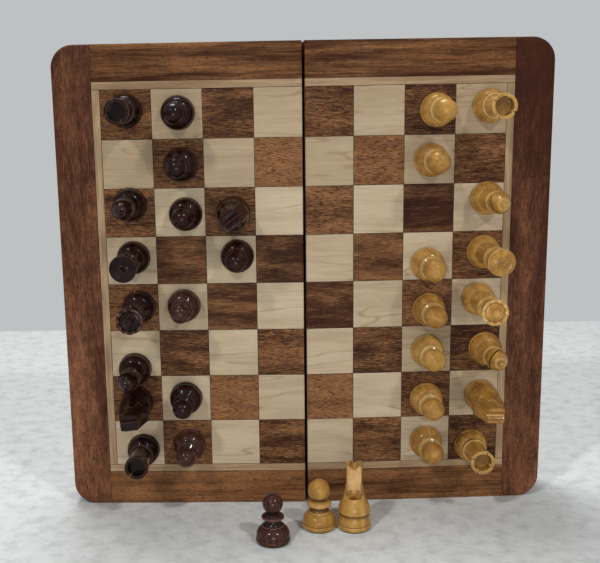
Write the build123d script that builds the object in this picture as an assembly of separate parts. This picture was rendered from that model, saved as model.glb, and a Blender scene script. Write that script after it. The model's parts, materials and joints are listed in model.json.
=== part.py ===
from build123d import *
import os
from math import cos, radians, sin

# A folding wooden chess box, opened out as a board and stood on its lower edges like a half-open book.
# X runs to the right along the board, Y away from the player, Z up. The origin is on the table, at the
# middle of the footprint. The hinge axis is upright, behind the fold. All sizes are in millimetres.
#
# Each half is modelled flat, with the hinge axis on Z through its own origin: X from the fold to the
# outer stile, Y from the playing surface (negative) back to the rim (near 0), Z up from the lower edge.
# The left half is the mirror image of the right one. A chessman is modelled upright, its base on Z = 0.

# Playing surface and frame
SQUARE_WIDTH = 25.8
SQUARE_HEIGHT = 24.9
SQUARE_THICKNESS = 2.0
SQUARE_SEAM = 0.25  # dark glue line between squares
FOLD_TRIM = 1.3  # what the squares beside the fold lose to it
COLUMNS = 4  # of squares on one half
ROWS = 8
INLAY_WIDTH = 4.0
STILE_WIDTH = 20.0
RAIL_HEIGHT = 18.4
HALF_DEPTH = 25.0  # playing surface to rim
CORNER_RADIUS = 11.5
EDGE_ROUND = 1.2
FOLD_CHAMFER = 0.3
RIM_CHAMFER = 0.5

# Behind the squares
STEEL_THICKNESS = 0.5
STEEL_INSET = 0.5
PANEL_THICKNESS = 3.0
PANEL_PLAY = 0.3
GROOVE_DEPTH = 3.0
SPINE_WIDTH = 8.0

# Fold and hinges
FOLD_BACK = 1.5  # degrees by which each half stands back from flat
SPINE_CLEARANCE = 0.1  # spine face to hinge axis plane
RIM_CLEARANCE = 0.15  # rim to hinge axis
HINGE_LENGTH = 30.0
HINGE_INSET = 58.0  # end of the board to the middle of a hinge
KNUCKLES = 5
KNUCKLE_RADIUS = 1.9
KNUCKLE_GAP = 0.15
LEAF_REACH = 7.0
LEAF_THICKNESS = 1.0
PIN_RADIUS = 0.95
PIN_PLAY = 0.05
PIN_HEAD_RADIUS = 1.5
PIN_HEAD_HEIGHT = 0.7
REBATE_PLAY = 0.4
SCREW_RADIUS = 0.8
SCREW_HEAD_RADIUS = 1.6
SCREW_LENGTH = 7.0
SCREW_PLAY = 0.05
SCREW_SLOT = 0.4
SCREWS_PER_LEAF = 2
SCREW_EDGE = 5.5  # end of a leaf to its nearer screw

# Closure magnets, let into the rim of the outer stile
CLOSURE_RADIUS = 4.0
CLOSURE_THICKNESS = 3.0
CLOSURE_INSET = 60.0  # end of the board to a closure magnet
CLOSURE_SINK = 0.1
CLOSURE_PLAY = 0.05

# Chessmen: base, felt and magnet are alike on all of them
BASE_RADIUS = 8.7
FELT_THICKNESS = 0.6
FELT_MARGIN = 0.7
RIM_HEIGHT = 2.0
GROOVE_HEIGHT = 0.6
GROOVE_CUT = 0.7
DOME_TOP = 8.2
SHOULDER_RADIUS = 6.0
SHOULDER_STEP = 0.5
MAGNET_RADIUS = 4.5
MAGNET_THICKNESS = 2.5
MAGNET_PLAY = 0.1
RING_THICKNESS = 1.5
COLLAR_THICKNESS = 2.6
COLLAR_LIFT = 0.3  # top of a stem to the collar on it
COLLAR_STEP = 0.8  # lower ring of a collar beyond the upper one

PAWN_HEAD_CENTRE = 20.0
PAWN_HEAD_RADIUS = {"dark": 5.1, "light": 5.7}
PAWN_NECK_RADIUS = 3.7
PAWN_COLLAR_RADIUS = {"dark": 5.7, "light": 6.3}
PAWN_COLLAR_LOW = 12.0
PAWN_COLLAR_SEAT = 0.7  # collar's underside beyond the neck

ROOK_HEIGHT = 27.6
ROOK_RING_RADIUS = 6.3
ROOK_RING_LOW = 9.8
ROOK_BODY_RADIUS = 5.4
ROOK_WAIST_RADIUS = 5.1
ROOK_RIM_RADIUS = 6.1
ROOK_RIM_STEP = 0.5
ROOK_BORE_RADIUS = 4.7
ROOK_BORE_DEPTH = 4.6
ROOK_BATTLEMENT = 2.4
ROOK_NOTCH = 1.1

BISHOP_NECK_RADIUS = 3.3
BISHOP_COLLAR_RADIUS = 5.5
BISHOP_COLLAR_LOW = 17.2
BISHOP_MITRE_LOW = 20.6
BISHOP_MITRE_RADIUS = 5.4
BISHOP_MITRE_TOP = 32.0
BISHOP_STEP_RADIUS = 2.8
BISHOP_FINIAL_RADIUS = 1.6
BISHOP_SLIT = 0.8
BISHOP_SLIT_ANGLE = 38.0

QUEEN_NECK_RADIUS = 3.5
QUEEN_COLLAR_RADIUS = 6.0
QUEEN_COLLAR_LOW = 21.4
QUEEN_CROWN_RADIUS = 6.7
QUEEN_CROWN_TOP = 34.6
QUEEN_SCALLOPS = 10
QUEEN_SCALLOP_RADIUS = 1.0
QUEEN_SCALLOP_LIFT = 0.7  # crown's rim to the middle of a scallop
QUEEN_BALL_RADIUS = 2.6
QUEEN_BALL_NECK = 1.6

KING_NECK_RADIUS = 3.7
KING_COLLAR_RADIUS = 6.2
KING_COLLAR_LOW = 23.0
KING_CROWN_RADIUS = 6.7
KING_CROWN_TOP = 35.6
KING_DOME_HEIGHT = 1.6
KING_KNOB_RADIUS = 2.4
KING_KNOB_NECK = 1.5
KING_CROSS_HEIGHT = 5.6
KING_CROSS_WIDTH = 5.4
KING_CROSS_ARM = 2.4
KING_CROSS_THICKNESS = 3.2

KNIGHT_HEIGHT = 35.0
KNIGHT_SHOULDER_RADIUS = 7.3
KNIGHT_SKIRT_RADIUS = 8.2
KNIGHT_SKIRT_LOW = 8.5
KNIGHT_SKIRT_LIP = 0.7  # height of the edge from which the bust starts
KNIGHT_BUST_WAIST = 6.6  # radius where the bell-shaped bust turns from round to hollow
KNIGHT_BUST_WAIST_HEIGHT = 14.4
KNIGHT_BUST_NECK = 4.5
KNIGHT_BUST_TOP = 23.0
KNIGHT_THICKNESS = 8.6
KNIGHT_FACE_WIDTH = 7.5
KNIGHT_NOSE_REACH = 8.9
KNIGHT_POLL_FRONT = 4.8  # flat top of the head, from the axis forward
KNIGHT_POLL_BACK = 3.5  # and back
KNIGHT_CHIN_HEIGHT = 20.4
KNIGHT_THROAT_HEIGHT = 17.0
KNIGHT_THROAT_REACH = 3.5
KNIGHT_EAR_GAP = 4.2
KNIGHT_EAR_NOTCH = 1.9
KNIGHT_EYE_RADIUS = 0.8
KNIGHT_NOSTRIL_RADIUS = 0.55
KNIGHT_NOSTRIL_HEIGHT = 22.9
KNIGHT_CUT = 0.8
KNIGHT_EYE_DROP = 5.6  # top of the head to the eyes
KNIGHT_MANE_CUTS = 5
KNIGHT_MANE_PITCH = 2.7

# Storage insert: a floor with foam dividers between the pockets, one pocket for each chessman
POCKET_COLUMNS = 4
POCKET_ROWS = 4
POCKET_PLAY = 0.8  # round a chessman's base
POCKET_SLACK = 1.5  # at each end of a king
INSERT_FLOOR = 1.6
INSERT_SINK = 0.4  # rim to the top of the dividers
INSERT_PLAY = 0.2

# Where the chessmen stand: kind, column from the left, row from the top, how far off the middle of the
# square to the right and up, and the turn about their own axis in degrees
ON_BOARD = {
    "dark_rook_1": ("rook", 1, 1, 0.0, 1.8, 20),
    "dark_pawn_1": ("pawn", 2, 1, 0.6, 0.5, 0),
    "dark_pawn_2": ("pawn", 2, 2, 1.2, -0.7, 0),
    "dark_bishop_1": ("bishop", 1, 3, 0.4, 4.5, 120),
    "dark_pawn_3": ("pawn", 2, 3, 3.0, -0.8, 0),
    "dark_knight_1": ("knight", 3, 3, 1.7, -0.7, 37),
    "dark_king": ("king", 1, 4, 1.1, 1.9, 40),
    "dark_pawn_4": ("pawn", 3, 4, 3.2, 2.0, 0),
    "dark_queen": ("queen", 1, 5, 3.0, 0.7, 0),
    "dark_pawn_5": ("pawn", 2, 5, 0.6, 1.1, 0),
    "dark_bishop_2": ("bishop", 1, 6, -0.6, -8.0, 60),
    "dark_knight_2": ("knight", 1, 7, -0.4, -1.6, 5),
    "dark_pawn_6": ("pawn", 2, 7, 0.1, 0.6, 0),
    "dark_rook_2": ("rook", 1, 8, 2.0, -3.3, 50),
    "dark_pawn_7": ("pawn", 2, 8, 1.1, -0.8, 0),
    "light_pawn_1": ("pawn", 7, 1, 3.2, -0.2, 0),
    "light_rook_1": ("rook", 8, 1, 4.0, 1.3, -30),
    "light_pawn_2": ("pawn", 7, 2, 0.4, -0.3, 0),
    "light_bishop_1": ("bishop", 8, 3, 3.8, 4.6, -130),
    "light_king": ("king", 8, 4, 2.7, 1.8, -28),
    "light_pawn_3": ("pawn", 7, 4, -0.5, -4.1, 0),
    "light_queen": ("queen", 8, 5, 0.6, 1.9, 0),
    "light_pawn_4": ("pawn", 7, 5, 0.6, -3.2, 0),
    "light_bishop_2": ("bishop", 8, 6, 4.9, 0.1, 160),
    "light_pawn_5": ("pawn", 7, 6, 0.2, -0.7, 0),
    "light_knight_1": ("knight", 8, 7, 3.3, -1.0, 178),
    "light_pawn_6": ("pawn", 7, 7, 0.0, -2.1, 0),
    "light_rook_2": ("rook", 8, 8, -1.3, -3.8, 65),
    "light_pawn_7": ("pawn", 7, 8, 0.2, -1.2, 0),
}

# Three more stand on the table: kind, distance right of the fold, distance in front of the playing
# surface at the fold, and turn
ON_TABLE = {
    "dark_pawn_8": ("pawn", -19.1, 44.8, 0),
    "light_pawn_8": ("pawn", 4.7, 29.9, 0),
    "light_knight_2": ("knight", 22.6, 30.7, -97),
}

# Places that follow from the sizes
REAR = -RIM_CLEARANCE
FRONT = REAR - HALF_DEPTH
STEEL_FRONT = FRONT + SQUARE_THICKNESS
PANEL_FRONT = STEEL_FRONT + STEEL_THICKNESS
PANEL_REAR = PANEL_FRONT + PANEL_THICKNESS
SQUARES_END = COLUMNS * SQUARE_WIDTH - FOLD_TRIM
STILE_START = SQUARES_END + INLAY_WIDTH
HALF_WIDTH = STILE_START + STILE_WIDTH
SQUARES_LOW = RAIL_HEIGHT + INLAY_WIDTH
SQUARES_HIGH = SQUARES_LOW + ROWS * SQUARE_HEIGHT
BOARD_HEIGHT = SQUARES_HIGH + SQUARES_LOW
RAIL_LOW = BOARD_HEIGHT - RAIL_HEIGHT  # lower edge of the top rail
MID_HEIGHT = Plane.XY.offset(BOARD_HEIGHT / 2)
HINGE_MIDDLES = (HINGE_INSET, BOARD_HEIGHT - HINGE_INSET)
POCKET_WIDTH = 2 * (BASE_RADIUS + POCKET_PLAY)
KING_KNOB_TOP = KING_CROWN_TOP + KING_DOME_HEIGHT + RING_THICKNESS
KING_HEIGHT = KING_KNOB_TOP + KING_CROSS_HEIGHT
POCKET_LENGTH = KING_HEIGHT + 2 * POCKET_SLACK


def block(x, y, z):
    """A box between the given pairs of X, Y and Z."""
    sizes = [high - low for low, high in (x, y, z)]
    middles = [(low + high) / 2 for low, high in (x, y, z)]
    return Pos(*middles) * Box(*sizes)


def disc(radius, low, high):
    """An upright cylinder on Z between two heights."""
    return Pos(0, 0, (low + high) / 2) * Cylinder(radius, high - low)


def rearward_disc(x, z, radius, front, rear):
    """A cylinder along Y, between two depths, at the given X and Z."""
    return Pos(x, rear, z) * Rot(90, 0, 0) * disc(radius, 0, rear - front)


def group(shapes):
    """Separate solids that share one node."""
    return Compound([solid for shape in shapes for solid in shape.solids()])


# Frame of one half


def outer_stile():
    """Full-height outer member: rounded corners, eased edges, panel groove and closure sockets."""
    body = block((STILE_START, HALF_WIDTH), (FRONT, REAR), (0, BOARD_HEIGHT))
    corners = body.edges().filter_by(Axis.Y).group_by(Axis.X)[-1]
    body = fillet(corners, CORNER_RADIUS)
    front_edges = body.faces().sort_by(Axis.Y)[0].edges()
    body = fillet(front_edges.sort_by(Axis.X)[1:], EDGE_ROUND)
    rear_edges = body.faces().sort_by(Axis.Y)[-1].edges()
    body = chamfer(rear_edges.sort_by(Axis.X)[1:], RIM_CHAMFER)
    groove_end = STILE_START + GROOVE_DEPTH
    body -= block((STILE_START, groove_end), (PANEL_FRONT, PANEL_REAR), (0, BOARD_HEIGHT))
    for socket in closure_discs(CLOSURE_SINK + CLOSURE_THICKNESS, 0, CLOSURE_PLAY):
        body -= socket
    return body


def bottom_rail():
    """Lower member between fold and stile, with a stub tongue in the stile's groove."""
    body = block((SPINE_CLEARANCE, STILE_START), (FRONT, REAR), (0, RAIL_HEIGHT))
    low_edges = body.edges().filter_by(Axis.X).group_by(Axis.Z)[0].sort_by(Axis.Y)
    body = fillet(low_edges[0], EDGE_ROUND)
    low_rear = body.edges().filter_by(Axis.X).group_by(Axis.Z)[0].sort_by(Axis.Y)[-1]
    body = chamfer(low_rear, RIM_CHAMFER)
    tongue_end = STILE_START + GROOVE_DEPTH
    body += block((STILE_START, tongue_end), (PANEL_FRONT, PANEL_REAR), (0, RAIL_HEIGHT))
    groove_low = RAIL_HEIGHT - GROOVE_DEPTH
    body -= block((0, tongue_end), (PANEL_FRONT, PANEL_REAR), (groove_low, RAIL_HEIGHT))
    return body - fold_bevel()


def top_rail():
    """The bottom rail turned over."""
    return mirror(bottom_rail(), MID_HEIGHT)


def fold_bevel():
    """The wedge planed off the playing surface along the fold."""
    corner = Polyline(
        (SPINE_CLEARANCE, FRONT), (SPINE_CLEARANCE + FOLD_CHAMFER, FRONT),
        (SPINE_CLEARANCE, FRONT + FOLD_CHAMFER), close=True,
    )
    return extrude(make_face(corner), BOARD_HEIGHT)


def spine_rail():
    """Inner member along the fold, behind the panel, mortised and drilled for the hinges."""
    body = block((SPINE_CLEARANCE, SPINE_WIDTH), (PANEL_REAR, REAR), (RAIL_HEIGHT, RAIL_LOW))
    rebate_half = HINGE_LENGTH / 2 + PIN_HEAD_HEIGHT + REBATE_PLAY
    for middle in HINGE_MIDDLES:
        low, high = middle - HINGE_LENGTH / 2, middle + HINGE_LENGTH / 2
        body -= block((SPINE_CLEARANCE, LEAF_REACH), (REAR - LEAF_THICKNESS, REAR), (low, high))
        body -= disc(KNUCKLE_RADIUS + REBATE_PLAY, middle - rebate_half, middle + rebate_half)
        for height in screw_heights(middle):
            hole = SCREW_RADIUS + SCREW_PLAY
            body -= rearward_disc(screw_x(), height, hole, REAR - SCREW_LENGTH, REAR)
    return body


def base_panel():
    """Plywood panel, its edges let into the grooves of the stile and rails."""
    edge = GROOVE_DEPTH - PANEL_PLAY
    return block(
        (SPINE_CLEARANCE, STILE_START + edge),
        (PANEL_FRONT, PANEL_REAR),
        (RAIL_HEIGHT - edge, RAIL_LOW + edge),
    )


def steel_sheet():
    """Thin steel behind the squares, which the chessmen's magnets cling to."""
    return block(
        (SPINE_CLEARANCE + STEEL_INSET, STILE_START - STEEL_INSET),
        (STEEL_FRONT, PANEL_FRONT),
        (RAIL_HEIGHT + STEEL_INSET, RAIL_LOW - STEEL_INSET),
    )


def tile(x, z):
    """One thin piece of the playing surface, drawn in by half a seam except at the fold."""
    half_seam = SQUARE_SEAM / 2
    left = x[0] if x[0] == SPINE_CLEARANCE else x[0] + half_seam
    piece = block(
        (left, x[1] - half_seam), (FRONT, STEEL_FRONT), (z[0] + half_seam, z[1] - half_seam)
    )
    return piece - fold_bevel() if left == SPINE_CLEARANCE else piece


def squares(left_half, dark):
    """The sixteen squares of one colour on one half. The square at the board's top left is dark."""
    found = []
    for step in range(COLUMNS):
        column = COLUMNS - step if left_half else COLUMNS + 1 + step
        low_x = max(step * SQUARE_WIDTH - FOLD_TRIM, SPINE_CLEARANCE)
        high_x = (step + 1) * SQUARE_WIDTH - FOLD_TRIM
        for row in range(1, ROWS + 1):
            if ((column + row) % 2 == 0) == dark:
                high_z = SQUARES_HIGH - (row - 1) * SQUARE_HEIGHT
                found.append(tile((low_x, high_x), (high_z - SQUARE_HEIGHT, high_z)))
    return group(found)


def inlay_strips():
    """Pale strips round the squares: one along each rail and one along the stile."""
    along = (SPINE_CLEARANCE, STILE_START)
    return group([
        tile(along, (RAIL_HEIGHT, SQUARES_LOW)),
        tile(along, (SQUARES_HIGH, RAIL_LOW)),
        tile((SQUARES_END, STILE_START), (SQUARES_LOW, SQUARES_HIGH)),
    ])


def closure_discs(depth, sink, play):
    """Discs in the rim of the stile, with their rear faces sunk below it."""
    middle = STILE_START + STILE_WIDTH / 2
    return [
        rearward_disc(middle, height, CLOSURE_RADIUS + play, REAR - depth, REAR - sink)
        for height in (CLOSURE_INSET, BOARD_HEIGHT - CLOSURE_INSET)
    ]


def closure_magnets():
    """The pair of disc magnets that holds the closed box shut."""
    return group(closure_discs(CLOSURE_SINK + CLOSURE_THICKNESS, CLOSURE_SINK, 0))


# Storage insert of one half


def pocket_pitch():
    """Distance between pocket middles across and up the half."""
    return (STILE_START - SPINE_WIDTH) / POCKET_COLUMNS, (RAIL_LOW - RAIL_HEIGHT) / POCKET_ROWS


def pocket_bounds(column, row):
    """X and Z limits of one pocket, counted from the spine and from the bottom rail."""
    across, up = pocket_pitch()
    middle_x = SPINE_WIDTH + (column + 0.5) * across
    middle_z = RAIL_HEIGHT + (row + 0.5) * up
    half_x, half_z = POCKET_WIDTH / 2, POCKET_LENGTH / 2
    return (middle_x - half_x, middle_x + half_x), (middle_z - half_z, middle_z + half_z)


def storage_insert():
    """Floor, long dividers between the columns and short ones between the pockets of a column."""
    left, right = SPINE_WIDTH + INSERT_PLAY, STILE_START - INSERT_PLAY
    low, high = RAIL_HEIGHT + INSERT_PLAY, RAIL_LOW - INSERT_PLAY
    floor_rear = PANEL_REAR + INSERT_FLOOR
    deep = (floor_rear, REAR - INSERT_SINK)
    columns = [pocket_bounds(column, 0)[0] for column in range(POCKET_COLUMNS)]
    rows = [pocket_bounds(0, row)[1] for row in range(POCKET_ROWS)]
    column_gaps = list(zip([left] + [x[1] for x in columns], [x[0] for x in columns] + [right]))
    row_gaps = list(zip([low] + [z[1] for z in rows], [z[0] for z in rows] + [high]))
    pieces = [block((left, right), (PANEL_REAR, floor_rear), (low, high))]
    pieces += [block(gap, deep, (low, high)) for gap in column_gaps]
    pieces += [block(column, deep, gap) for column in columns for gap in row_gaps]
    return group(pieces)


# Hinges


def screw_x():
    """Distance of the leaf screws from the hinge axis."""
    return (KNUCKLE_RADIUS + KNUCKLE_GAP + LEAF_REACH) / 2


def screw_heights(middle):
    """Heights of a leaf's screws for a hinge at the given middle height."""
    reach = HINGE_LENGTH / 2 - SCREW_EDGE
    step = 2 * reach / (SCREWS_PER_LEAF - 1)
    return [middle - reach + number * step for number in range(SCREWS_PER_LEAF)]


def screw_shape(play):
    """A countersunk screw along Z with its head's flat face at Z = 0, point down."""
    radius, head = SCREW_RADIUS + play, SCREW_HEAD_RADIUS + play
    outline = Polyline(
        (0, 0), (head, 0), (radius, -LEAF_THICKNESS), (radius, radius - SCREW_LENGTH),
        (0, -SCREW_LENGTH), close=True,
    )
    return revolve(Plane.XZ * make_face(outline), Axis.Z)


def hinge_leaf(middle, first_knuckle):
    """One leaf: plate in the rim, every second knuckle, pin bore and countersunk holes."""
    low, step = middle - HINGE_LENGTH / 2, HINGE_LENGTH / KNUCKLES
    leaf = block((0, LEAF_REACH), (REAR - LEAF_THICKNESS, REAR), (low, low + HINGE_LENGTH))
    for number in range(KNUCKLES):
        bottom, top = low + number * step, low + (number + 1) * step
        half_gap = KNUCKLE_GAP / 2
        if number % 2 == first_knuckle:
            leaf += disc(KNUCKLE_RADIUS, bottom + half_gap, top - half_gap)
        else:
            leaf -= disc(KNUCKLE_RADIUS + KNUCKLE_GAP, bottom - half_gap, top + half_gap)
    leaf -= disc(PIN_RADIUS + PIN_PLAY, low, low + HINGE_LENGTH)
    for height in screw_heights(middle):
        leaf -= Pos(screw_x(), REAR, height) * Rot(-90, 0, 0) * screw_shape(SCREW_PLAY)
    return leaf


def hinge_leaves(first_knuckle):
    """Both leaves of one half."""
    return group([hinge_leaf(middle, first_knuckle) for middle in HINGE_MIDDLES])


def hinge_pins():
    """Pins through the knuckles, with a flat head at each end."""
    pins = []
    for middle in HINGE_MIDDLES:
        low, high = middle - HINGE_LENGTH / 2, middle + HINGE_LENGTH / 2
        pin = disc(PIN_RADIUS, low, high)
        pin += disc(PIN_HEAD_RADIUS, low - PIN_HEAD_HEIGHT, low)
        pin += disc(PIN_HEAD_RADIUS, high, high + PIN_HEAD_HEIGHT)
        pins.append(pin)
    return group(pins)


def hinge_screws():
    """The countersunk wood screws of one half's leaves, slotted."""
    slot = block(
        (-SCREW_HEAD_RADIUS, SCREW_HEAD_RADIUS), (-SCREW_SLOT / 2, SCREW_SLOT / 2), (-SCREW_SLOT, 0)
    )
    screw = screw_shape(0) - slot
    return group([
        Pos(screw_x(), REAR - SCREW_PLAY, height) * Rot(-90, 0, 0) * screw
        for middle in HINGE_MIDDLES
        for height in screw_heights(middle)
    ])


# Chessmen


def turned(outline):
    """A solid turned on Z from its outline, given from the bottom rim up to the axis as (radius,
    height) points. A step that is a pair of points is an arc through the first to the second."""
    here = outline[0]
    edges = [Line((0, here[1]), here)]
    for step in outline[1:]:
        if isinstance(step[0], tuple):
            edges.append(ThreePointArc(here, *step))
            here = step[1]
        else:
            edges.append(Line(here, step))
            here = step
    if here[0] > 0:
        edges.append(Line(here, (0, here[1])))
        here = (0, here[1])
    edges.append(Line(here, (0, outline[0][1])))
    return revolve(Plane.XZ * make_face(Curve() + edges), Axis.Z)


def ring(inner, outer, low):
    """Outline steps of a half-round ring on a stem."""
    return [(inner, low), ((outer, low + RING_THICKNESS / 2), (inner, low + RING_THICKNESS))]


def collar(inner, outer, low):
    """Outline steps of a collar: a half-round ring with a smaller one on top of it."""
    step, top = low + RING_THICKNESS, low + COLLAR_THICKNESS
    return ring(inner, outer, low) + [((outer - COLLAR_STEP, (step + top) / 2), (inner, top))]


def flange(inner, outer, low):
    """Outline steps of a flange with a rounded lip, from which its top slopes up to what is on it."""
    return [(inner, low), ((outer, low + RING_THICKNESS / 2), (outer - 0.4, low + RING_THICKNESS))]


def ball(radius, middle, neck):
    """Outline steps of a ball on top of a neck, up to the axis."""
    return [(neck, middle - (radius**2 - neck**2) ** 0.5), ((radius, middle), (0, middle + radius))]


def base_outline(shoulder=SHOULDER_RADIUS):
    """Outline of the rim, groove and dome that every chessman stands on."""
    rim_top = FELT_THICKNESS + RIM_HEIGHT
    waist = BASE_RADIUS - GROOVE_CUT
    edge = BASE_RADIUS - GROOVE_CUT / 2
    dome_low = rim_top + GROOVE_HEIGHT
    bulge = (edge - (edge - shoulder) * 0.21, dome_low + (DOME_TOP - dome_low) * 0.56)
    return [
        (edge, FELT_THICKNESS),
        ((BASE_RADIUS, FELT_THICKNESS + RIM_HEIGHT / 2), (edge, rim_top)),
        (waist, rim_top + GROOVE_HEIGHT * 0.2),
        (waist, dome_low - GROOVE_HEIGHT * 0.2),
        (edge, dome_low),
        (bulge, (shoulder, DOME_TOP)),
    ]


def stem_outline(neck_radius, neck_height):
    """Outline of base and stem: a small step on the dome, then a hollow curve up to the neck."""
    foot, step_low = SHOULDER_RADIUS - SHOULDER_STEP, DOME_TOP + SHOULDER_STEP / 2
    step_top = step_low + SHOULDER_STEP
    hollow = (
        neck_radius + (foot - neck_radius) * 0.28,
        step_top + (neck_height - step_top) * 0.42,
    )
    return base_outline() + [
        (foot, step_low), (foot, step_top), (hollow, (neck_radius, neck_height))
    ]


def pawn(side):
    """Stem, flange and ball head."""
    neck, head = PAWN_NECK_RADIUS, PAWN_HEAD_RADIUS[side]
    flange_low = PAWN_COLLAR_LOW + COLLAR_LIFT
    return turned(
        stem_outline(neck, PAWN_COLLAR_LOW)
        + flange(neck + PAWN_COLLAR_SEAT, PAWN_COLLAR_RADIUS[side], flange_low)
        + ball(head, PAWN_HEAD_CENTRE, head * 0.55)
    )


def rook(side):
    """A stout barrel on a ring, with a hollow top and four narrow notches."""
    barrel, ring_low = ROOK_BODY_RADIUS, ROOK_RING_LOW
    ring_top = ring_low + RING_THICKNESS
    wall_low = ROOK_HEIGHT - ROOK_BATTLEMENT - ROOK_RIM_STEP
    waist = (ROOK_WAIST_RADIUS, (ring_top + wall_low) / 2)
    floor = ROOK_HEIGHT - ROOK_BORE_DEPTH
    body = turned(
        stem_outline(barrel, ring_low)
        + ring(barrel + 0.1, ROOK_RING_RADIUS, ring_low)
        + [
            (barrel, ring_top), (waist, (ROOK_RIM_RADIUS - ROOK_RIM_STEP, wall_low)),
            (ROOK_RIM_RADIUS, wall_low + ROOK_RIM_STEP), (ROOK_RIM_RADIUS, ROOK_HEIGHT),
            (ROOK_BORE_RADIUS, ROOK_HEIGHT), (ROOK_BORE_RADIUS - 0.3, floor),
        ]
    )
    half, reach = ROOK_NOTCH / 2, ROOK_RIM_RADIUS + 1
    notch = block((-half, half), (-reach, reach), (ROOK_HEIGHT - ROOK_BATTLEMENT, ROOK_HEIGHT))
    return body - notch - Rot(0, 0, 90) * notch


def bishop(side):
    """Stem, double collar and mitre with a stepped top, a ball on it and a slanting saw cut."""
    neck, collar_low = BISHOP_NECK_RADIUS, BISHOP_COLLAR_LOW
    ring_low = collar_low + COLLAR_LIFT
    top = BISHOP_MITRE_TOP
    widest = BISHOP_MITRE_LOW + (top - BISHOP_MITRE_LOW) * 0.36
    step_low = top - BISHOP_FINIAL_RADIUS / 2
    finial = ball(BISHOP_FINIAL_RADIUS, top + BISHOP_FINIAL_RADIUS * 0.7, BISHOP_FINIAL_RADIUS * 0.8)
    body = turned(
        stem_outline(neck, collar_low)
        + collar(neck + 0.6, BISHOP_COLLAR_RADIUS, ring_low)
        + [
            (neck - 0.2, BISHOP_MITRE_LOW),
            ((BISHOP_MITRE_RADIUS - 0.2, widest - 1.8), (BISHOP_MITRE_RADIUS, widest)),
            ((BISHOP_MITRE_RADIUS * 0.8, (widest + step_low) / 2 + 0.8), (BISHOP_STEP_RADIUS, step_low)),
        ]
        + finial
    )
    reach = 2 * BISHOP_MITRE_RADIUS
    cut = block((0, reach), (-reach, reach), (-BISHOP_SLIT / 2, BISHOP_SLIT / 2))
    return body - Pos(0, 0, widest) * Rot(0, -BISHOP_SLIT_ANGLE, 0) * cut


def queen(side):
    """Stem, collars and a flared crown with a scalloped rim, dome and ball."""
    neck, collar_low = QUEEN_NECK_RADIUS, QUEEN_COLLAR_LOW
    ring_low = collar_low + COLLAR_LIFT
    collar_top = ring_low + COLLAR_THICKNESS
    rim, top = QUEEN_CROWN_RADIUS, QUEEN_CROWN_TOP
    flare = (neck + 0.25 * (rim - neck), collar_top + 0.62 * (top - collar_top))
    finial = ball(QUEEN_BALL_RADIUS, top + QUEEN_BALL_RADIUS, QUEEN_BALL_NECK)
    body = turned(
        stem_outline(neck, collar_low)
        + collar(neck + 0.7, QUEEN_COLLAR_RADIUS, ring_low)
        + [
            (neck, collar_top), (flare, (rim, top)), (rim - 1.2, top + 0.2),
            (rim - 2.0, top - 0.7), ((rim * 0.45, top - 0.2), finial[0]),
        ]
        + finial[1:]
    )
    for number in range(QUEEN_SCALLOPS):
        scallop = Rot(0, 90, 0) * Cylinder(QUEEN_SCALLOP_RADIUS, rim / 2)
        cutter = Pos(rim, 0, top + QUEEN_SCALLOP_LIFT) * scallop
        body -= Rot(0, 0, 360 * number / QUEEN_SCALLOPS) * cutter
    return body


def king(side):
    """Stem, collars, a flared crown with a domed top and a knob, and a plain flared cross."""
    neck, collar_low = KING_NECK_RADIUS, KING_COLLAR_LOW
    ring_low = collar_low + COLLAR_LIFT
    collar_top = ring_low + COLLAR_THICKNESS
    rim, top = KING_CROWN_RADIUS, KING_CROWN_TOP
    flare = (neck + 0.25 * (rim - neck), collar_top + 0.6 * (top - 1 - collar_top))
    dome_top = top + KING_DOME_HEIGHT
    body = turned(
        stem_outline(neck, collar_low)
        + collar(neck + 0.7, KING_COLLAR_RADIUS, ring_low)
        + [
            (neck, collar_top), (flare, (rim, top - 1)), (rim, top - 0.3), (rim - 0.6, top),
            ((rim * 0.5, top + KING_DOME_HEIGHT * 0.6), (KING_KNOB_NECK - 0.2, dome_top - 0.1)),
        ]
        + ring(KING_KNOB_NECK, KING_KNOB_RADIUS, dome_top)
    )
    return body + Pos(0, 0, KING_KNOB_TOP) * cross()


def cross():
    """The king's cross, four arms that widen outwards, standing on Z = 0."""
    half_arm, half_width = KING_CROSS_ARM / 2, KING_CROSS_WIDTH / 2
    middle = KING_CROSS_HEIGHT - half_width
    waist = half_arm * 0.6
    right = [
        (half_arm, -1), (waist, middle - waist), (half_width, middle - half_arm),
        (half_width, middle + half_arm), (waist, middle + waist), (half_arm, KING_CROSS_HEIGHT),
    ]
    left = [(-x, z) for x, z in reversed(right)]
    face = make_face(Polyline(*right, *left, close=True))
    return extrude(Plane.XZ * face, KING_CROSS_THICKNESS / 2, both=True)


def knight_throat():
    """The curve from throat to chin, as outline steps in X and Z."""
    throat = (KNIGHT_THROAT_REACH, KNIGHT_THROAT_HEIGHT)
    chin = (KNIGHT_NOSE_REACH - 0.9, KNIGHT_CHIN_HEIGHT)
    middle = (throat[0] + 1.4, (throat[1] + chin[1]) / 2 + 0.6)
    return throat, middle, chin


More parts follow.
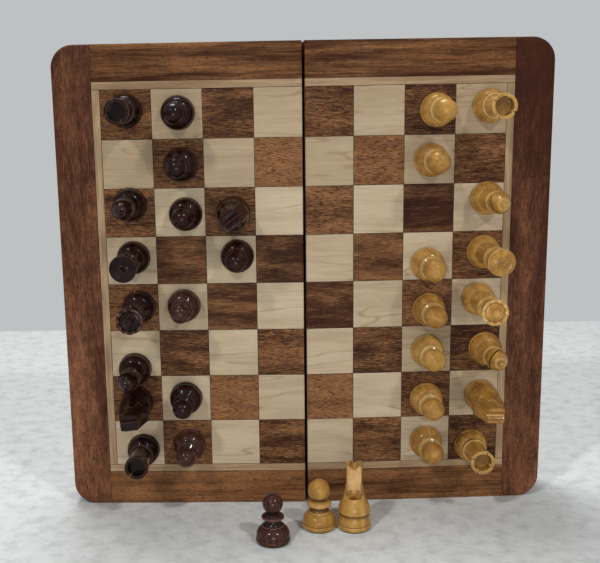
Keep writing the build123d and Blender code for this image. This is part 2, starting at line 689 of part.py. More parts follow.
def knight_profile():
    """Side view of head and neck, nose towards +X, cut off inside the bust."""
    nose, top, back = KNIGHT_NOSE_REACH, KNIGHT_HEIGHT, -KNIGHT_SKIRT_RADIUS
    low = KNIGHT_SKIRT_LOW + 1
    throat, middle, chin = knight_throat()
    lip = (nose - 0.5, KNIGHT_NOSTRIL_HEIGHT + KNIGHT_CUT)
    ear, poll = (KNIGHT_POLL_FRONT, top), (-KNIGHT_POLL_BACK, top - KNIGHT_CUT / 2)
    crest = (back + 1.5, KNIGHT_BUST_WAIST_HEIGHT + 1)
    return make_face(Curve() + [
        Line((back + 2, low), (throat[0], low)),
        Line((throat[0], low), throat),
        ThreePointArc(throat, middle, chin),
        ThreePointArc(chin, (nose, (chin[1] + lip[1]) / 2), lip),
        Line(lip, ear),
        Line(ear, poll),
        ThreePointArc(poll, (poll[0] - 2.1, (poll[1] + crest[1]) / 2), crest),
        Line(crest, (back + 2, low)),
    ])


def throat_cut():
    """What is sawn out of the bust's front between throat and chin, across its whole thickness."""
    throat, middle, chin = knight_throat()
    beyond = KNIGHT_NOSE_REACH + 1
    outline = make_face(Curve() + [
        ThreePointArc(throat, middle, chin),
        Line(chin, (beyond, chin[1])),
        Line((beyond, chin[1]), (beyond, throat[1])),
        Line((beyond, throat[1]), throat),
    ])
    return extrude(Plane.XZ * outline, KNIGHT_SKIRT_RADIUS, both=True)


def knight_cuts():
    """Ear notch, mouth, eyes, nostrils and mane grooves to be carved out of the head."""
    top, nose, half = KNIGHT_HEIGHT, KNIGHT_NOSE_REACH, KNIGHT_THICKNESS / 2
    gap, face = KNIGHT_EAR_GAP / 2, KNIGHT_FACE_WIDTH / 2
    notch = make_face(Polyline((-gap, 0.1), (gap, 0.1), (0, -KNIGHT_EAR_NOTCH), close=True))
    mouth_height = (KNIGHT_CHIN_HEIGHT + KNIGHT_NOSTRIL_HEIGHT) / 2
    cuts = [Pos(0, 0, top) * extrude(Plane.YZ * notch, 2 * nose, both=True)]
    for side in (-1, 1):
        nostril = Pos(nose - 0.1, side * face / 2, KNIGHT_NOSTRIL_HEIGHT)
        mouth = Rot(0, 6, 0) * Box(4 * KNIGHT_CUT, 2 * KNIGHT_CUT, KNIGHT_CUT / 2)
        cuts.append(Pos(nose - 4 * KNIGHT_CUT, side * (face + KNIGHT_CUT / 2), mouth_height) * mouth)
        cuts.append(Pos(nose - 4, side * half, top - KNIGHT_EYE_DROP) * Sphere(KNIGHT_EYE_RADIUS))
        cuts.append(nostril * Sphere(KNIGHT_NOSTRIL_RADIUS))
        for number in range(KNIGHT_MANE_CUTS):
            groove = Rot(0, 24 - 5 * number, 0) * Box(4.4, 2 * KNIGHT_CUT, KNIGHT_CUT / 2)
            height = top - 3 - KNIGHT_MANE_PITCH * number
            cuts.append(Pos(-3.2 - 0.45 * number, side * half, height) * groove)
    return cuts


def knight(side):
    """A turned base and bell-shaped bust, and a flat head sawn to a horse's profile."""
    skirt, low = KNIGHT_SKIRT_RADIUS, KNIGHT_SKIRT_LOW
    waist, waist_height = KNIGHT_BUST_WAIST, KNIGHT_BUST_WAIST_HEIGHT
    neck, high = KNIGHT_BUST_NECK, KNIGHT_BUST_TOP
    lip = low + KNIGHT_SKIRT_LIP
    round_part = (skirt - (skirt - waist) * 0.26, (lip + waist_height) / 2)
    hollow_part = (neck + (waist - neck) * 0.38, (waist_height + high) / 2 - 0.4)
    bust = turned(base_outline(KNIGHT_SHOULDER_RADIUS) + [
        (skirt - KNIGHT_SKIRT_LIP, low), (skirt, lip),
        (round_part, (waist, waist_height)), (hollow_part, (neck, high)),
    ])
    head = extrude(Plane.XZ * knight_profile(), KNIGHT_THICKNESS / 2, both=True)
    back, nose = skirt + 1, KNIGHT_NOSE_REACH + 0.1
    half_back, half_face = KNIGHT_THICKNESS / 2, KNIGHT_FACE_WIDTH / 2
    plan = Polyline(
        (-back, -half_back * 0.75), (-1, -half_back), (nose, -half_face),
        (nose, half_face), (-1, half_back), (-back, half_back * 0.75), close=True,
    )
    head &= extrude(make_face(plan), KNIGHT_HEIGHT + 1)
    for cut in knight_cuts():
        head -= cut
    return bust - throat_cut() + head


def chessman(kind, side):
    """A chessman as its separate solids: wood, magnet and felt."""
    makers = {
        "pawn": pawn, "rook": rook, "knight": knight, "bishop": bishop, "queen": queen, "king": king
    }
    magnet_top = FELT_THICKNESS + MAGNET_THICKNESS
    pocket = disc(MAGNET_RADIUS + MAGNET_PLAY, 0, magnet_top + MAGNET_PLAY)
    wood = makers[kind](side) - pocket
    magnet = disc(MAGNET_RADIUS, FELT_THICKNESS, magnet_top)
    felt = disc(BASE_RADIUS - FELT_MARGIN, 0, FELT_THICKNESS)
    return [wood, magnet, felt]


# Putting it together


def half_turn(left_half):
    """Takes a half from its own flat frame to where it stands, folded back about the hinge axis."""
    return Rot(0, 0, -FOLD_BACK if left_half else FOLD_BACK)


def half_nodes(left_half):
    """All pieces of one half by name, in place."""
    side = "left" if left_half else "right"
    pieces = {
        "outer_stile": outer_stile(),
        "top_rail": top_rail(),
        "bottom_rail": bottom_rail(),
        "spine_rail": spine_rail(),
        "base_panel": base_panel(),
        "steel_sheet": steel_sheet(),
        "light_squares": squares(left_half, dark=False),
        "dark_squares": squares(left_half, dark=True),
        "inlay_strips": inlay_strips(),
        "storage_insert": storage_insert(),
        "closure_magnets": closure_magnets(),
        "hinge_leaves": hinge_leaves(0 if left_half else 1),
        "hinge_screws": hinge_screws(),
    }
    if left_half:
        pieces = {name: mirror(piece, Plane.YZ) for name, piece in pieces.items()}
        pieces["hinge_pins"] = hinge_pins()
    place = half_turn(left_half)
    return {
        name if name == "hinge_pins" else f"{side}_{name}": group([place * piece])
        for name, piece in pieces.items()
    }


def board_place(column, row, right, up, turn):
    """Where a chessman stands on the board: its axis along the half's outward normal."""
    left_half = column <= COLUMNS
    along = (column - COLUMNS - 0.5) * SQUARE_WIDTH + right
    along += FOLD_TRIM if left_half else -FOLD_TRIM
    height = SQUARES_HIGH - (row - 0.5) * SQUARE_HEIGHT + up
    return half_turn(left_half) * Pos(along, FRONT, height) * Rot(90, 0, 0) * Rot(0, 0, turn)


def table_place(right, forward, turn):
    """Where a loose chessman stands on the table, in front of the fold."""
    fold_front = FRONT * cos(radians(FOLD_BACK))
    return Pos(right, fold_front - forward, 0) * Rot(0, 0, turn)


def chessman_nodes():
    """All thirty-two chessmen by name, in place."""
    places = {name: (kind, board_place(*rest)) for name, (kind, *rest) in ON_BOARD.items()}
    places |= {name: (kind, table_place(*rest)) for name, (kind, *rest) in ON_TABLE.items()}
    shapes, nodes = {}, {}
    for name, (kind, place) in places.items():
        side = name.split("_")[0]
        if (kind, side) not in shapes:
            shapes[kind, side] = chessman(kind, side)
        nodes[name] = group([place * shape for shape in shapes[kind, side]])
    return nodes


def assembly():
    """Every node by name, with the middle of the footprint moved to the origin."""
    nodes = half_nodes(True) | half_nodes(False) | chessman_nodes()
    middle = Compound(list(nodes.values())).bounding_box().center()
    shift = Pos(0, -middle.Y, 0)
    return {name: group([shift * node]) for name, node in nodes.items()}


def main():
    os.makedirs("parts", exist_ok=True)
    for name, node in assembly().items():
        export_step(node, f"parts/{name}.step")


if __name__ == "__main__":
    main()
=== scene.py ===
"""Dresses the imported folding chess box: lacquered wood, inlaid squares, chessmen and lined trays.

Each half of the box has its own flat frame, in millimetres: X from the fold to the outer stile, Y
from the playing surface (negative) back to the rim, Z up from the lower edge. A chessman has its
base on Z = 0 and its own axis on Z. Placing a piece takes it from such a frame to the row frame, in
metres.
"""

from __future__ import annotations

import itertools
import json
import logging
import math
from dataclasses import dataclass, field
from enum import Enum
from typing import Any

import bpy
import numpy as np
from mathutils import Euler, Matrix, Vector
from numpy.lib.stride_tricks import sliding_window_view

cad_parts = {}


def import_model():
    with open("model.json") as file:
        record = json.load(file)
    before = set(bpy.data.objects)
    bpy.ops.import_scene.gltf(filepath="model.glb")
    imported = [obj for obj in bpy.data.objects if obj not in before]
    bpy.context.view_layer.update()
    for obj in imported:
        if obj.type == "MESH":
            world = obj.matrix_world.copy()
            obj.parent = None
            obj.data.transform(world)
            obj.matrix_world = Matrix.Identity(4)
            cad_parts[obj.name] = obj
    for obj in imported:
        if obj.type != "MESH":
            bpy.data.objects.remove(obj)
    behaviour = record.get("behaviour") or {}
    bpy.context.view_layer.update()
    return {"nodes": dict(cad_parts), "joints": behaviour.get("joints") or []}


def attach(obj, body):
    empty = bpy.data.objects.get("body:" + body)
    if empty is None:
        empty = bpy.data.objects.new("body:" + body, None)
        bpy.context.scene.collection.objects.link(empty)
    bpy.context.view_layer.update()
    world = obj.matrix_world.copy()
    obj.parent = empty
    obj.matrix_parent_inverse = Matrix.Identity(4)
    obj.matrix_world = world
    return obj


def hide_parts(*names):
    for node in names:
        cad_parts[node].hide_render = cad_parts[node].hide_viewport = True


LOG = logging.getLogger("chess_box")
MM = 0.001
FOLD_BACK = math.radians(1.5)
SMOOTH_UNDER = math.radians(38)

Array = np.ndarray
Colour = tuple[float, float, float]
Point = tuple[float, float]
Step = tuple


def shade(red: int, green: int, blue: int) -> Colour:
    """The linear colour of an sRGB shade given in bytes."""
    values = np.array([red, green, blue]) / 255
    linear = np.where(values <= 0.04045, values / 12.92, ((values + 0.055) / 1.055) ** 2.4)
    return tuple(float(v) for v in linear)


# Frames and meshes


class Half(Enum):
    """A half of the box, by the sign of X on it."""

    LEFT = -1
    RIGHT = 1

    @property
    def body(self) -> str:
        """Name of the body that the half's pieces ride on."""
        return f"{self.name.lower()}_half"

    def node(self, name: str) -> str:
        """Name of the half's own node of that kind."""
        return f"{self.name.lower()}_{name}"


@dataclass(frozen=True)
class Place:
    """Where a piece's own frame stands: row point = turn @ own point + origin, in millimetres."""

    turn: Array
    origin: Array

    def put(self, points: Array) -> Array:
        """Own points in millimetres as row points in metres."""
        return (points @ self.turn.T + self.origin) * MM

    def own(self, mesh: bpy.types.Mesh) -> Array:
        """A placed mesh's vertices as own points in millimetres."""
        return (read_all(mesh.vertices, "co", 3) / MM - self.origin) @ self.turn

    @property
    def mirrors(self) -> bool:
        """Whether the place turns a mesh inside out."""
        return bool(np.linalg.det(self.turn) < 0)


def turn_about(axis: int, degrees: float) -> Array:
    """Matrix of a right-handed turn about X, Y or Z (0, 1 or 2)."""
    c, s = math.cos(math.radians(degrees)), math.sin(math.radians(degrees))
    one, two = [i for i in range(3) if i != axis]
    matrix = np.eye(3)
    sign = -1 if axis == 1 else 1
    matrix[one, one] = matrix[two, two] = c
    matrix[one, two], matrix[two, one] = -sign * s, sign * s
    return matrix


def half_place(half: Half, hinge_y: float) -> Place:
    """Place of a half: mirrored on the left, and turned back about the hinge axis.

    Args:
        half: Which half.
        hinge_y: Y of the hinge axis in the row frame, in millimetres.

    Returns:
        The place of that half's own frame.
    """
    mirror = np.diag([half.value, 1, 1])
    turn = turn_about(2, half.value * math.degrees(FOLD_BACK)) @ mirror
    return Place(turn, np.array([0, hinge_y, 0]))


@dataclass
class Draft:
    """A mesh being gathered in a piece's own frame, in millimetres.

    grain holds, for each vertex, the place in the timber it is cut from, its first number along the
    grain, tone how much paler or darker than usual the timber is there, and calm how far it lacks
    pores and fibres, from 0 to 1.
    """

    vertices: list[Array] = field(default_factory=list)
    faces: list[list[int]] = field(default_factory=list)
    grain: list[Array] = field(default_factory=list)
    tone: list[Array] = field(default_factory=list)
    calm: list[Array] = field(default_factory=list)
    count: int = 0

    def add(self, vertices: Array, faces: list, grain: Array | None = None, tone: float = 0.0,
            calm: float = 0.0) -> Draft:
        """Adds a shell.

        Args:
            vertices: Rows of X, Y and Z.
            faces: Vertex numbers of each face, counted from this shell's first vertex.
            grain: Rows of places in the timber, or None for the vertices' own places.
            tone: The shell's tone.
            calm: How far it lacks pores and fibres.

        Returns:
            The draft itself.
        """
        vertices = np.asarray(vertices, float)
        self.vertices.append(vertices)
        self.grain.append(vertices if grain is None else grain)
        self.tone.append(np.full(len(vertices), tone))
        self.calm.append(np.full(len(vertices), calm))
        start = self.count
        self.faces.extend([[start + int(i) for i in f] for f in faces])
        self.count += len(vertices)
        return self

    def make(self, name: str, place: Place,
             smooth: float | None = SMOOTH_UNDER) -> bpy.types.Object:
        """Makes the object, placed in its mesh.

        Args:
            name: The piece's name.
            place: Where its frame stands.
            smooth: Largest angle between faces that shade as one, or None for all.

        Returns:
            The new object, at the origin.
        """
        points = place.put(np.concatenate(self.vertices))
        faces = [f[::-1] for f in self.faces] if place.mirrors else self.faces
        mesh = bpy.data.meshes.new(name)
        mesh.from_pydata(points.tolist(), [], faces)
        write_attribute(mesh, "grain", np.concatenate(self.grain) * MM)
        write_attribute(mesh, "tone", np.concatenate(self.tone))
        write_attribute(mesh, "calm", np.concatenate(self.calm))
        shade_mesh(mesh, smooth)
        return linked(name, mesh)


def linked(name: str, data: bpy.types.ID) -> bpy.types.Object:
    """A new object with this data, in the scene."""
    made = bpy.data.objects.new(name, data)
    bpy.context.scene.collection.objects.link(made)
    return made


def write_attribute(mesh: bpy.types.Mesh, name: str, values: Array) -> None:
    """Stores one number or one vector for each vertex."""
    kind, key = ("FLOAT_VECTOR", "vector") if values.ndim == 2 else ("FLOAT", "value")
    layer = mesh.attributes.get(name) or mesh.attributes.new(name, kind, "POINT")
    layer.data.foreach_set(key, values.astype(np.float32).ravel())


def read_all(items: Any, key: str, width: int = 1) -> Array:
    """One property of every item of a mesh, as rows of the given width."""
    values = np.zeros(len(items) * width)
    items.foreach_get(key, values)
    return values.reshape(-1, width) if width > 1 else values


def sharpness(mesh: bpy.types.Mesh, start: float, full: float) -> tuple[Array, Array]:
    """How sharp the outer and the inner edges are that meet at each vertex.

    Args:
        mesh: The mesh.
        start: The turn between two faces, in degrees, that counts as 0.
        full: The turn that counts as 1.

    Returns:
        A share from 0 to 1 for each vertex, for outer and for inner edges.
    """
    edge = read_all(mesh.loops, "edge_index").astype(int)
    sides = read_all(mesh.polygons, "loop_total").astype(int)
    face = np.repeat(np.arange(len(sides)), sides)
    normals = read_all(mesh.polygons, "normal", 3)
    centres = read_all(mesh.polygons, "center", 3)
    ends = read_all(mesh.edges, "vertices", 2).astype(int)
    order = np.argsort(edge, kind="stable")
    known, first, uses = np.unique(edge[order], return_index=True, return_counts=True)
    known, first = known[uses == 2], first[uses == 2]
    one, two = face[order[first]], face[order[first + 1]]
    cosine = np.einsum("ij,ij->i", normals[one], normals[two])
    rise = np.einsum("ij,ij->i", centres[two] - centres[one], normals[one])
    turn = -np.sign(rise) * np.degrees(np.arccos(np.clip(cosine, -1, 1)))
    shares = []
    for sign in (1, -1):
        share = np.zeros(len(mesh.vertices))
        sharp = np.clip((sign * turn - start) / (full - start), 0, 1)
        for end in (0, 1):
            np.maximum.at(share, ends[known, end], sharp)
        shares.append(share)
    return shares[0], shares[1]


def shade_mesh(mesh: bpy.types.Mesh, smooth: float | None) -> None:
    """Shades smooth, with sharp edges over the given angle."""
    mesh.update(calc_edges=True)
    mesh.shade_smooth()
    if smooth is not None:
        mesh.set_sharp_from_angle(angle=smooth)


def finished(made: bpy.types.Object, smooth: float | None = SMOOTH_UNDER) -> bpy.types.Object:
    """Applies the modifiers of an object to its mesh and shades it again."""
    graph = bpy.context.evaluated_depsgraph_get()
    mesh = bpy.data.meshes.new_from_object(made.evaluated_get(graph), depsgraph=graph)
    made.modifiers.clear()
    made.data = mesh
    shade_mesh(mesh, smooth)
    return made


def bevelled(made: bpy.types.Object, weights: dict[tuple[int, int], float], width: float,
             segments: int = 4) -> bpy.types.Object:
    """Rounds edges by their own weights.

    Args:
        made: The object, with its first vertices as the weights name them.
        weights: Pair of vertex numbers to the share of the width its edge gets.
        width: Full width in metres.
        segments: Steps of the rounding.

    Returns:
        The same object.
    """
    mesh = made.data
    pairs = read_all(mesh.edges, "vertices", 2).astype(int).tolist()
    keys = [tuple(sorted(pair)) for pair in pairs]
    sorted_weights = {tuple(sorted(pair)): weight for pair, weight in weights.items()}
    layer = mesh.attributes.new("bevel_weight_edge", "FLOAT", "EDGE")
    layer.data.foreach_set("value", [sorted_weights.get(key, 0.0) for key in keys])
    rounding = made.modifiers.new("rounding", "BEVEL")
    rounding.limit_method = "WEIGHT"
    rounding.width = width
    rounding.segments = segments
    rounding.use_clamp_overlap = False
    return finished(made)


def cut(made: bpy.types.Object, cutters: list[bpy.types.Object]) -> bpy.types.Object:
    """Takes closed shapes out of a closed piece, and deletes them."""
    for cutter in cutters:
        away = made.modifiers.new(cutter.name, "BOOLEAN")
        away.operation = "DIFFERENCE"
        away.solver = "EXACT"
        away.object = cutter
    finished(made)
    for cutter in cutters:
        bpy.data.objects.remove(cutter)
    return made


def grid_faces(rows: int, columns: int, closed: bool = True) -> Array:
    """Quads between neighbouring rows of a grid, closed round its columns or open.

    Vertex (row, column) has number row * columns + column. Each face runs row, next row, so that on
    a turned piece listed from its foot up, counter-clockwise, it points outwards.
    """
    row = np.arange(rows - 1)[:, None]
    column = np.arange(columns if closed else columns - 1)[None, :]
    after = (column + 1) % columns
    corners = [row * columns + column, row * columns + after, (row + 1) * columns + after,
               (row + 1) * columns + column]
    return np.stack(np.broadcast_arrays(*corners), -1).reshape(-1, 4)


def box_shell(x: Point, y: Point, z: Point) -> tuple[Array, list]:
    """Corners and outward faces of a plain box."""
    corners = np.array([(a, b, c) for a in x for b in y for c in z])
    faces = [(0, 1, 3, 2), (4, 6, 7, 5), (0, 4, 5, 1), (2, 3, 7, 6), (0, 2, 6, 4), (1, 5, 7, 3)]
    return corners, faces


def arc(start: Point, through: Point, end: Point, spacing: float = 0.28) -> Array:
    """Points after the start on the circle through three points.

    The centre solves the two equations that put it as far from the start as from the other two; the
    angle then runs evenly from start to end, the way that passes the middle point.
    """
    a, b, c = (np.array(p, float) for p in (start, through, end))
    system = 2 * np.array([b - a, c - a])
    if abs(np.linalg.det(system)) < 1e-9:
        return np.array([c])
    centre = np.linalg.solve(system, [b @ b - a @ a, c @ c - a @ a])
    angle = [math.atan2(*(p - centre)[::-1]) for p in (a, b, c)]
    sweep, middle = (angle[2] - angle[0]) % math.tau, (angle[1] - angle[0]) % math.tau
    if middle > sweep:
        sweep -= math.tau
    radius = float(np.linalg.norm(a - centre))
    count = max(4, math.ceil(abs(sweep) * radius / spacing))
    turn = angle[0] + sweep * np.arange(1, count + 1) / count
    return centre + radius * np.stack([np.cos(turn), np.sin(turn)], -1)


def trace(outline: list[Step]) -> Array:
    """Points of an outline whose steps are points or (through, end) arcs."""
    rows = [np.array([outline[0]], float)]
    for step in outline[1:]:
        here = tuple(rows[-1][-1])
        rows.append(arc(here, *step) if isinstance(step[0], tuple) else np.array([step], float))
    points = np.concatenate(rows)
    steps = np.linalg.norm(np.diff(points, axis=0), axis=1)
    return points[np.concatenate([[True], steps > 1e-6])]


def eased(points: Array, ease: float, closed: bool = False, sharp: float = 24.0) -> Array:
    """Cuts each sharp corner of a line by a small flat, with support points beside it.

    A corner of more than `sharp` degrees gives way to points at 1 and 2.2 times `ease` along both
    of its runs, or nearer where a run is short.
    """
    before = np.roll(points, 1, 0) - points
    after = np.roll(points, -1, 0) - points
    lengths = [np.linalg.norm(v, axis=1) for v in (before, after)]
    cosine = -(before * after).sum(1) / (lengths[0] * lengths[1] + 1e-12)
    corner = cosine < math.cos(math.radians(sharp))
    if not closed:
        corner[[0, -1]] = False
    rows = []
    for point, is_corner, back, ahead, near, far in zip(points, corner, before, after, *lengths):
        if not is_corner:
            rows.append(point)
            continue
        shares = [min(ease * k, 0.45 * near) for k in (2.2, 1)]
        rows += [point + back / near * share for share in shares]
        shares = [min(ease * k, 0.45 * far) for k in (1, 2.2)]
        rows += [point + ahead / far * share for share in shares]
    return np.array(rows)


# Finishes


class Graph:
    """A material's node tree, built by short calls."""

    def __init__(self, name: str) -> None:
        """Makes a material with an empty tree."""
        self.material = bpy.data.materials.new(name)
        self.material.use_nodes = True
        self.tree = self.material.node_tree
        self.tree.nodes.clear()

    def add(self, kind: str, inputs: dict, **settings: object) -> bpy.types.Node:
        """Adds a node.

        Args:
            kind: Its type, without ShaderNode.
            inputs: Socket name or number to a value or to another node's output.
            settings: The node's own properties.
        """
        node = self.tree.nodes.new(f"ShaderNode{kind}")
        for key, value in settings.items():
            setattr(node, key, value)
        for key, value in inputs.items():
            if isinstance(value, bpy.types.NodeSocket):
                self.tree.links.new(value, node.inputs[key])
            else:
                node.inputs[key].default_value = value
        return node

    def stretched(self, vector: object, sizes: tuple[float, float, float]) -> object:
        """A vector divided by three lengths in millimetres, which noise of scale 1 then has."""
        factors = [1 / (size * MM) for size in sizes]
        node = self.add("VectorMath", {0: vector, 1: factors}, operation="MULTIPLY")
        return node.outputs[0]

    def noise(self, vector: object, detail: float = 3.0, roughness: float = 0.5,
              distortion: float = 0.0) -> object:
        """Noise of scale 1 at a vector."""
        inputs = {"Vector": vector, "Scale": 1.0, "Detail": detail, "Roughness": roughness,
                  "Distortion": distortion}
        return self.add("TexNoise", inputs).outputs[0]

    def drawn(self, vector: object, size: Point, *settings: float) -> object:
        """Noise drawn out along the grain: its length there, and its width both ways across."""
        return self.noise(self.stretched(vector, (size[0], size[1], size[1])), *settings)

    def even(self, size: float, *settings: float) -> object:
        """Noise of one size in millimetres, at the point on the object."""
        return self.noise(self.stretched(self.object_place(), (size,) * 3), *settings)

    def math(self, operation: str, one: object, two: object = 0.0) -> object:
        """One number worked out from two."""
        return self.add("Math", {0: one, 1: two}, operation=operation).outputs[0]

    def ranged(self, value: object, low: float, high: float, to_low: float = 0.0,
               to_high: float = 1.0) -> object:
        """A number brought from one range to another, smoothly, and held there."""
        inputs = {"Value": value, "From Min": low, "From Max": high, "To Min": to_low,
                  "To Max": to_high}
        return self.add("MapRange", inputs, interpolation_type="SMOOTHSTEP").outputs[0]

    def blend(self, share: object, one: object, two: object, how: str = "MIX") -> object:
        """Two colours mixed by a share of the second."""
        one, two = ((*c, 1.0) if isinstance(c, tuple) else c for c in (one, two))
        node = self.add("Mix", {0: share, 6: one, 7: two}, data_type="RGBA", blend_type=how)
        return node.outputs[2]

    def grey(self, value: object) -> object:
        """A grey of the given level, as a colour."""
        return self.add("CombineColor", {0: value, 1: value, 2: value}).outputs[0]

    def bump(self, height: object, depth: float) -> object:
        """A surface normal from a height of 0 to 1 that stands for `depth` millimetres."""
        inputs = {"Height": height, "Distance": depth * MM, "Strength": 1.0}
        return self.add("Bump", inputs).outputs[0]

    def attribute(self, name: str, output: str) -> object:
        """A vertex attribute of the piece."""
        return self.add("Attribute", {}, attribute_name=name).outputs[output]

    def object_place(self) -> object:
        """The point on the object."""
        return self.add("TexCoord", {}).outputs["Object"]

    def surface(self, **sockets: object) -> bpy.types.Material:
        """Ends the tree with a Principled shader; underscores stand for spaces in socket names."""
        inputs = {key.replace("_", " "): value for key, value in sockets.items()}
        for key in ("Base Color", "Sheen Tint"):
            if isinstance(inputs.get(key), tuple):
                inputs[key] = (*inputs[key], 1.0)
        shader = self.add("BsdfPrincipled", inputs)
        self.add("OutputMaterial", {"Surface": shader.outputs[0]})
        return self.material


class Cut(Enum):
    """Where a wood material finds its place in the timber."""

    GRAIN = "the piece's grain and tone attributes"
    OBJECT = "the object's own upright coordinates"


@dataclass(frozen=True)
class WoodFinish:
    """Lacquered timber: slow bands, fine fibres and dark open pores along the grain.

    Lengths are in millimetres. `spread` is how strongly the slow bands move the colour, `fibre` the
    fine lines, `pores` how dark the pores are and `pore_share` how much of the surface they take.
    Two colours add painted light where the piece has the attributes for them: shade painted
    into grooves, creases and hollows, and highlights painted on sharp outer edges; each share
    says how far its colour covers the wood.
    """

    name: str
    dark: Colour
    light: Colour
    pore: Colour
    band: tuple[float, float] = (60.0, 9.0)
    line: tuple[float, float] = (14.0, 0.8)
    pore_size: tuple[float, float] = (5.0, 0.45)
    spread: float = 1.0
    fibre: float = 0.5
    pores: float = 0.6
    pore_share: float = 0.4
    tone: float = 0.5
    mottle: float = 0.0
    veins: float = 0.0
    # Painted shade for grooves and hollows and painted highlight for sharp outer edges, with
    # shares.
    painted_shade: Colour | None = None
    edge_highlight: Colour | None = None
    painted_shade_share: float = 0.85
    edge_highlight_share: float = 0.8
    roughness: float = 0.5
    gloss: float = 0.25
    coat: float = 0.0
    coat_roughness: float = 0.06
    coat_ior: float = 1.26
    relief: float = 0.02
    cut: Cut = Cut.GRAIN

    def material(self) -> bpy.types.Material:
        """Makes the material.

        The shade is dark to light by: half, plus spread times slow noise, plus fibre times fine
        noise, plus tone times the piece's tone. The pores are the low end of a noise drawn out
        along the grain; they darken the shade and dent the surface.
        """
        graph = Graph(self.name)
        if self.cut is Cut.GRAIN:
            place = graph.attribute("grain", "Vector")
            tone = graph.attribute("tone", "Fac")
            lively = graph.math("SUBTRACT", 1.0, graph.attribute("calm", "Fac"))
        else:
            upright = graph.object_place()
            turned = graph.add("Mapping", {"Vector": upright, "Rotation": (0, math.pi / 2, 0)})
            place, tone, lively = turned.outputs[0], 0.0, 1.0
        wander = graph.drawn(place, (90, 30), 2)
        sway = graph.add("VectorMath", {0: (0, 6 * MM, 4 * MM), "Scale": wander}, operation="SCALE")
        bent = graph.add("VectorMath", {0: place, 1: sway.outputs[0]}, operation="ADD").outputs[0]
        bands = graph.drawn(bent, self.band, 4, 0.6, 0.3)
        fibres = graph.drawn(bent, self.line, 3, 0.6)
        shift = graph.math("MULTIPLY", graph.math("SUBTRACT", bands, 0.5), 2.2 * self.spread)
        fine = graph.math("MULTIPLY", graph.math("SUBTRACT", fibres, 0.5), 2.0 * self.fibre)
        fine = graph.math("MULTIPLY", fine, lively)
        toned = graph.math("MULTIPLY", tone, self.tone)
        level = graph.math("ADD", graph.math("ADD", shift, fine), graph.math("ADD", toned, 0.5))
        colour = graph.blend(graph.ranged(level, 0.0, 1.0), self.dark, self.light)
        if self.mottle:
            spots = graph.drawn(bent, (7, 3.2), 3, 0.6)
            dusk = graph.ranged(spots, 0.35, 0.65, 1 - self.mottle, 1 + self.mottle)
            colour = graph.blend(1.0, colour, graph.grey(dusk), "MULTIPLY")
        if self.veins:
            rings = graph.drawn(bent, (110, 12), 2, 0.4)
            nearness = graph.math("ABSOLUTE", graph.math("SUBTRACT", rings, 0.5))
            line = graph.ranged(nearness, 0.0, 0.012, self.veins, 0.0)
            colour = graph.blend(line, colour, self.pore)
        pores = graph.drawn(bent, self.pore_size, 2, 0.5)
        edge = 0.3 + 0.25 * self.pore_share
        holes = graph.ranged(pores, edge, edge + 0.06, 1.0, 0.0)
        open_pores = graph.math("MULTIPLY", graph.math("MULTIPLY", holes, self.pores), lively)
        colour = graph.blend(open_pores, colour, self.pore)
        # Painted shade in grooves and hollows, then painted highlights on sharp outer edges.
        overlays = (("painted_shade", self.painted_shade, self.painted_shade_share), ("painted_highlight", self.edge_highlight, self.edge_highlight_share))
        for attribute, over, most in overlays:
            if over:
                share = graph.math("MULTIPLY", graph.attribute(attribute, "Fac"), most)
                colour = graph.blend(share, colour, over)
        height = graph.math("SUBTRACT", graph.math("MULTIPLY", fibres, 0.4), holes)
        normal = graph.bump(height, self.relief)
        return graph.surface(
            Base_Color=colour, Roughness=self.roughness, Specular_IOR_Level=self.gloss,
            Coat_Weight=self.coat, Coat_Roughness=self.coat_roughness, Coat_IOR=self.coat_ior,
            Normal=normal,
        )


@dataclass(frozen=True)
class VelvetFinish:
    """Short pile: mottled colour, a soft sheen at glancing angles and a fine fuzzy relief."""

    name: str
    colour: Colour
    sheen: Colour

    def material(self) -> bpy.types.Material:
        """Makes the material, on object coordinates."""
        graph = Graph(self.name)
        nap, fuzz = graph.even(9, 4, 0.65), graph.even(0.35, 3, 0.7)
        dark = tuple(0.55 * c for c in self.colour)
        light = tuple(min(1.0, 1.45 * c) for c in self.colour)
        nap, pile = graph.math("MULTIPLY", nap, 0.7), graph.math("MULTIPLY", fuzz, 0.5)
        level = graph.math("ADD", nap, pile)
        colour = graph.blend(graph.ranged(level, 0.3, 0.9), dark, light)
        return graph.surface(
            Base_Color=colour, Roughness=0.95, Sheen_Weight=0.6, Sheen_Roughness=0.4,
            Sheen_Tint=self.sheen, Normal=graph.bump(fuzz, 0.25),
        )


@dataclass(frozen=True)
class MetalFinish:
    """Metal with fine scratches and a little tarnish."""

    name: str
    colour: Colour
    tarnish: Colour
    roughness: float = 0.3
    scratch: tuple[float, float, float] = (0.15, 4.0, 0.15)

    def material(self) -> bpy.types.Material:
        """Makes the material, on object coordinates."""
        graph = Graph(self.name)
        lines = graph.noise(graph.stretched(graph.object_place(), self.scratch), 3, 0.6)
        stain = graph.even(6, 4, 0.6)
        colour = graph.blend(graph.ranged(stain, 0.45, 0.75), self.colour, self.tarnish)
        rough = graph.ranged(lines, 0.3, 0.7, self.roughness * 0.8, self.roughness * 1.4)
        return graph.surface(
            Base_Color=colour, Metallic=1.0, Roughness=rough, Normal=graph.bump(lines, 0.01)
        )


@dataclass(frozen=True)
class PlainFinish:
    """A matt surface with a faint mottle, such as dried glue."""

    name: str
    colour: Colour
    roughness: float = 0.8

    def material(self) -> bpy.types.Material:
        """Makes the material, on object coordinates."""
        graph = Graph(self.name)
        spots = graph.even(2, 3)
        dark = tuple(0.7 * c for c in self.colour)
        colour = graph.blend(graph.ranged(spots, 0.35, 0.65), dark, self.colour)
        return graph.surface(Base_Color=colour, Roughness=self.roughness)


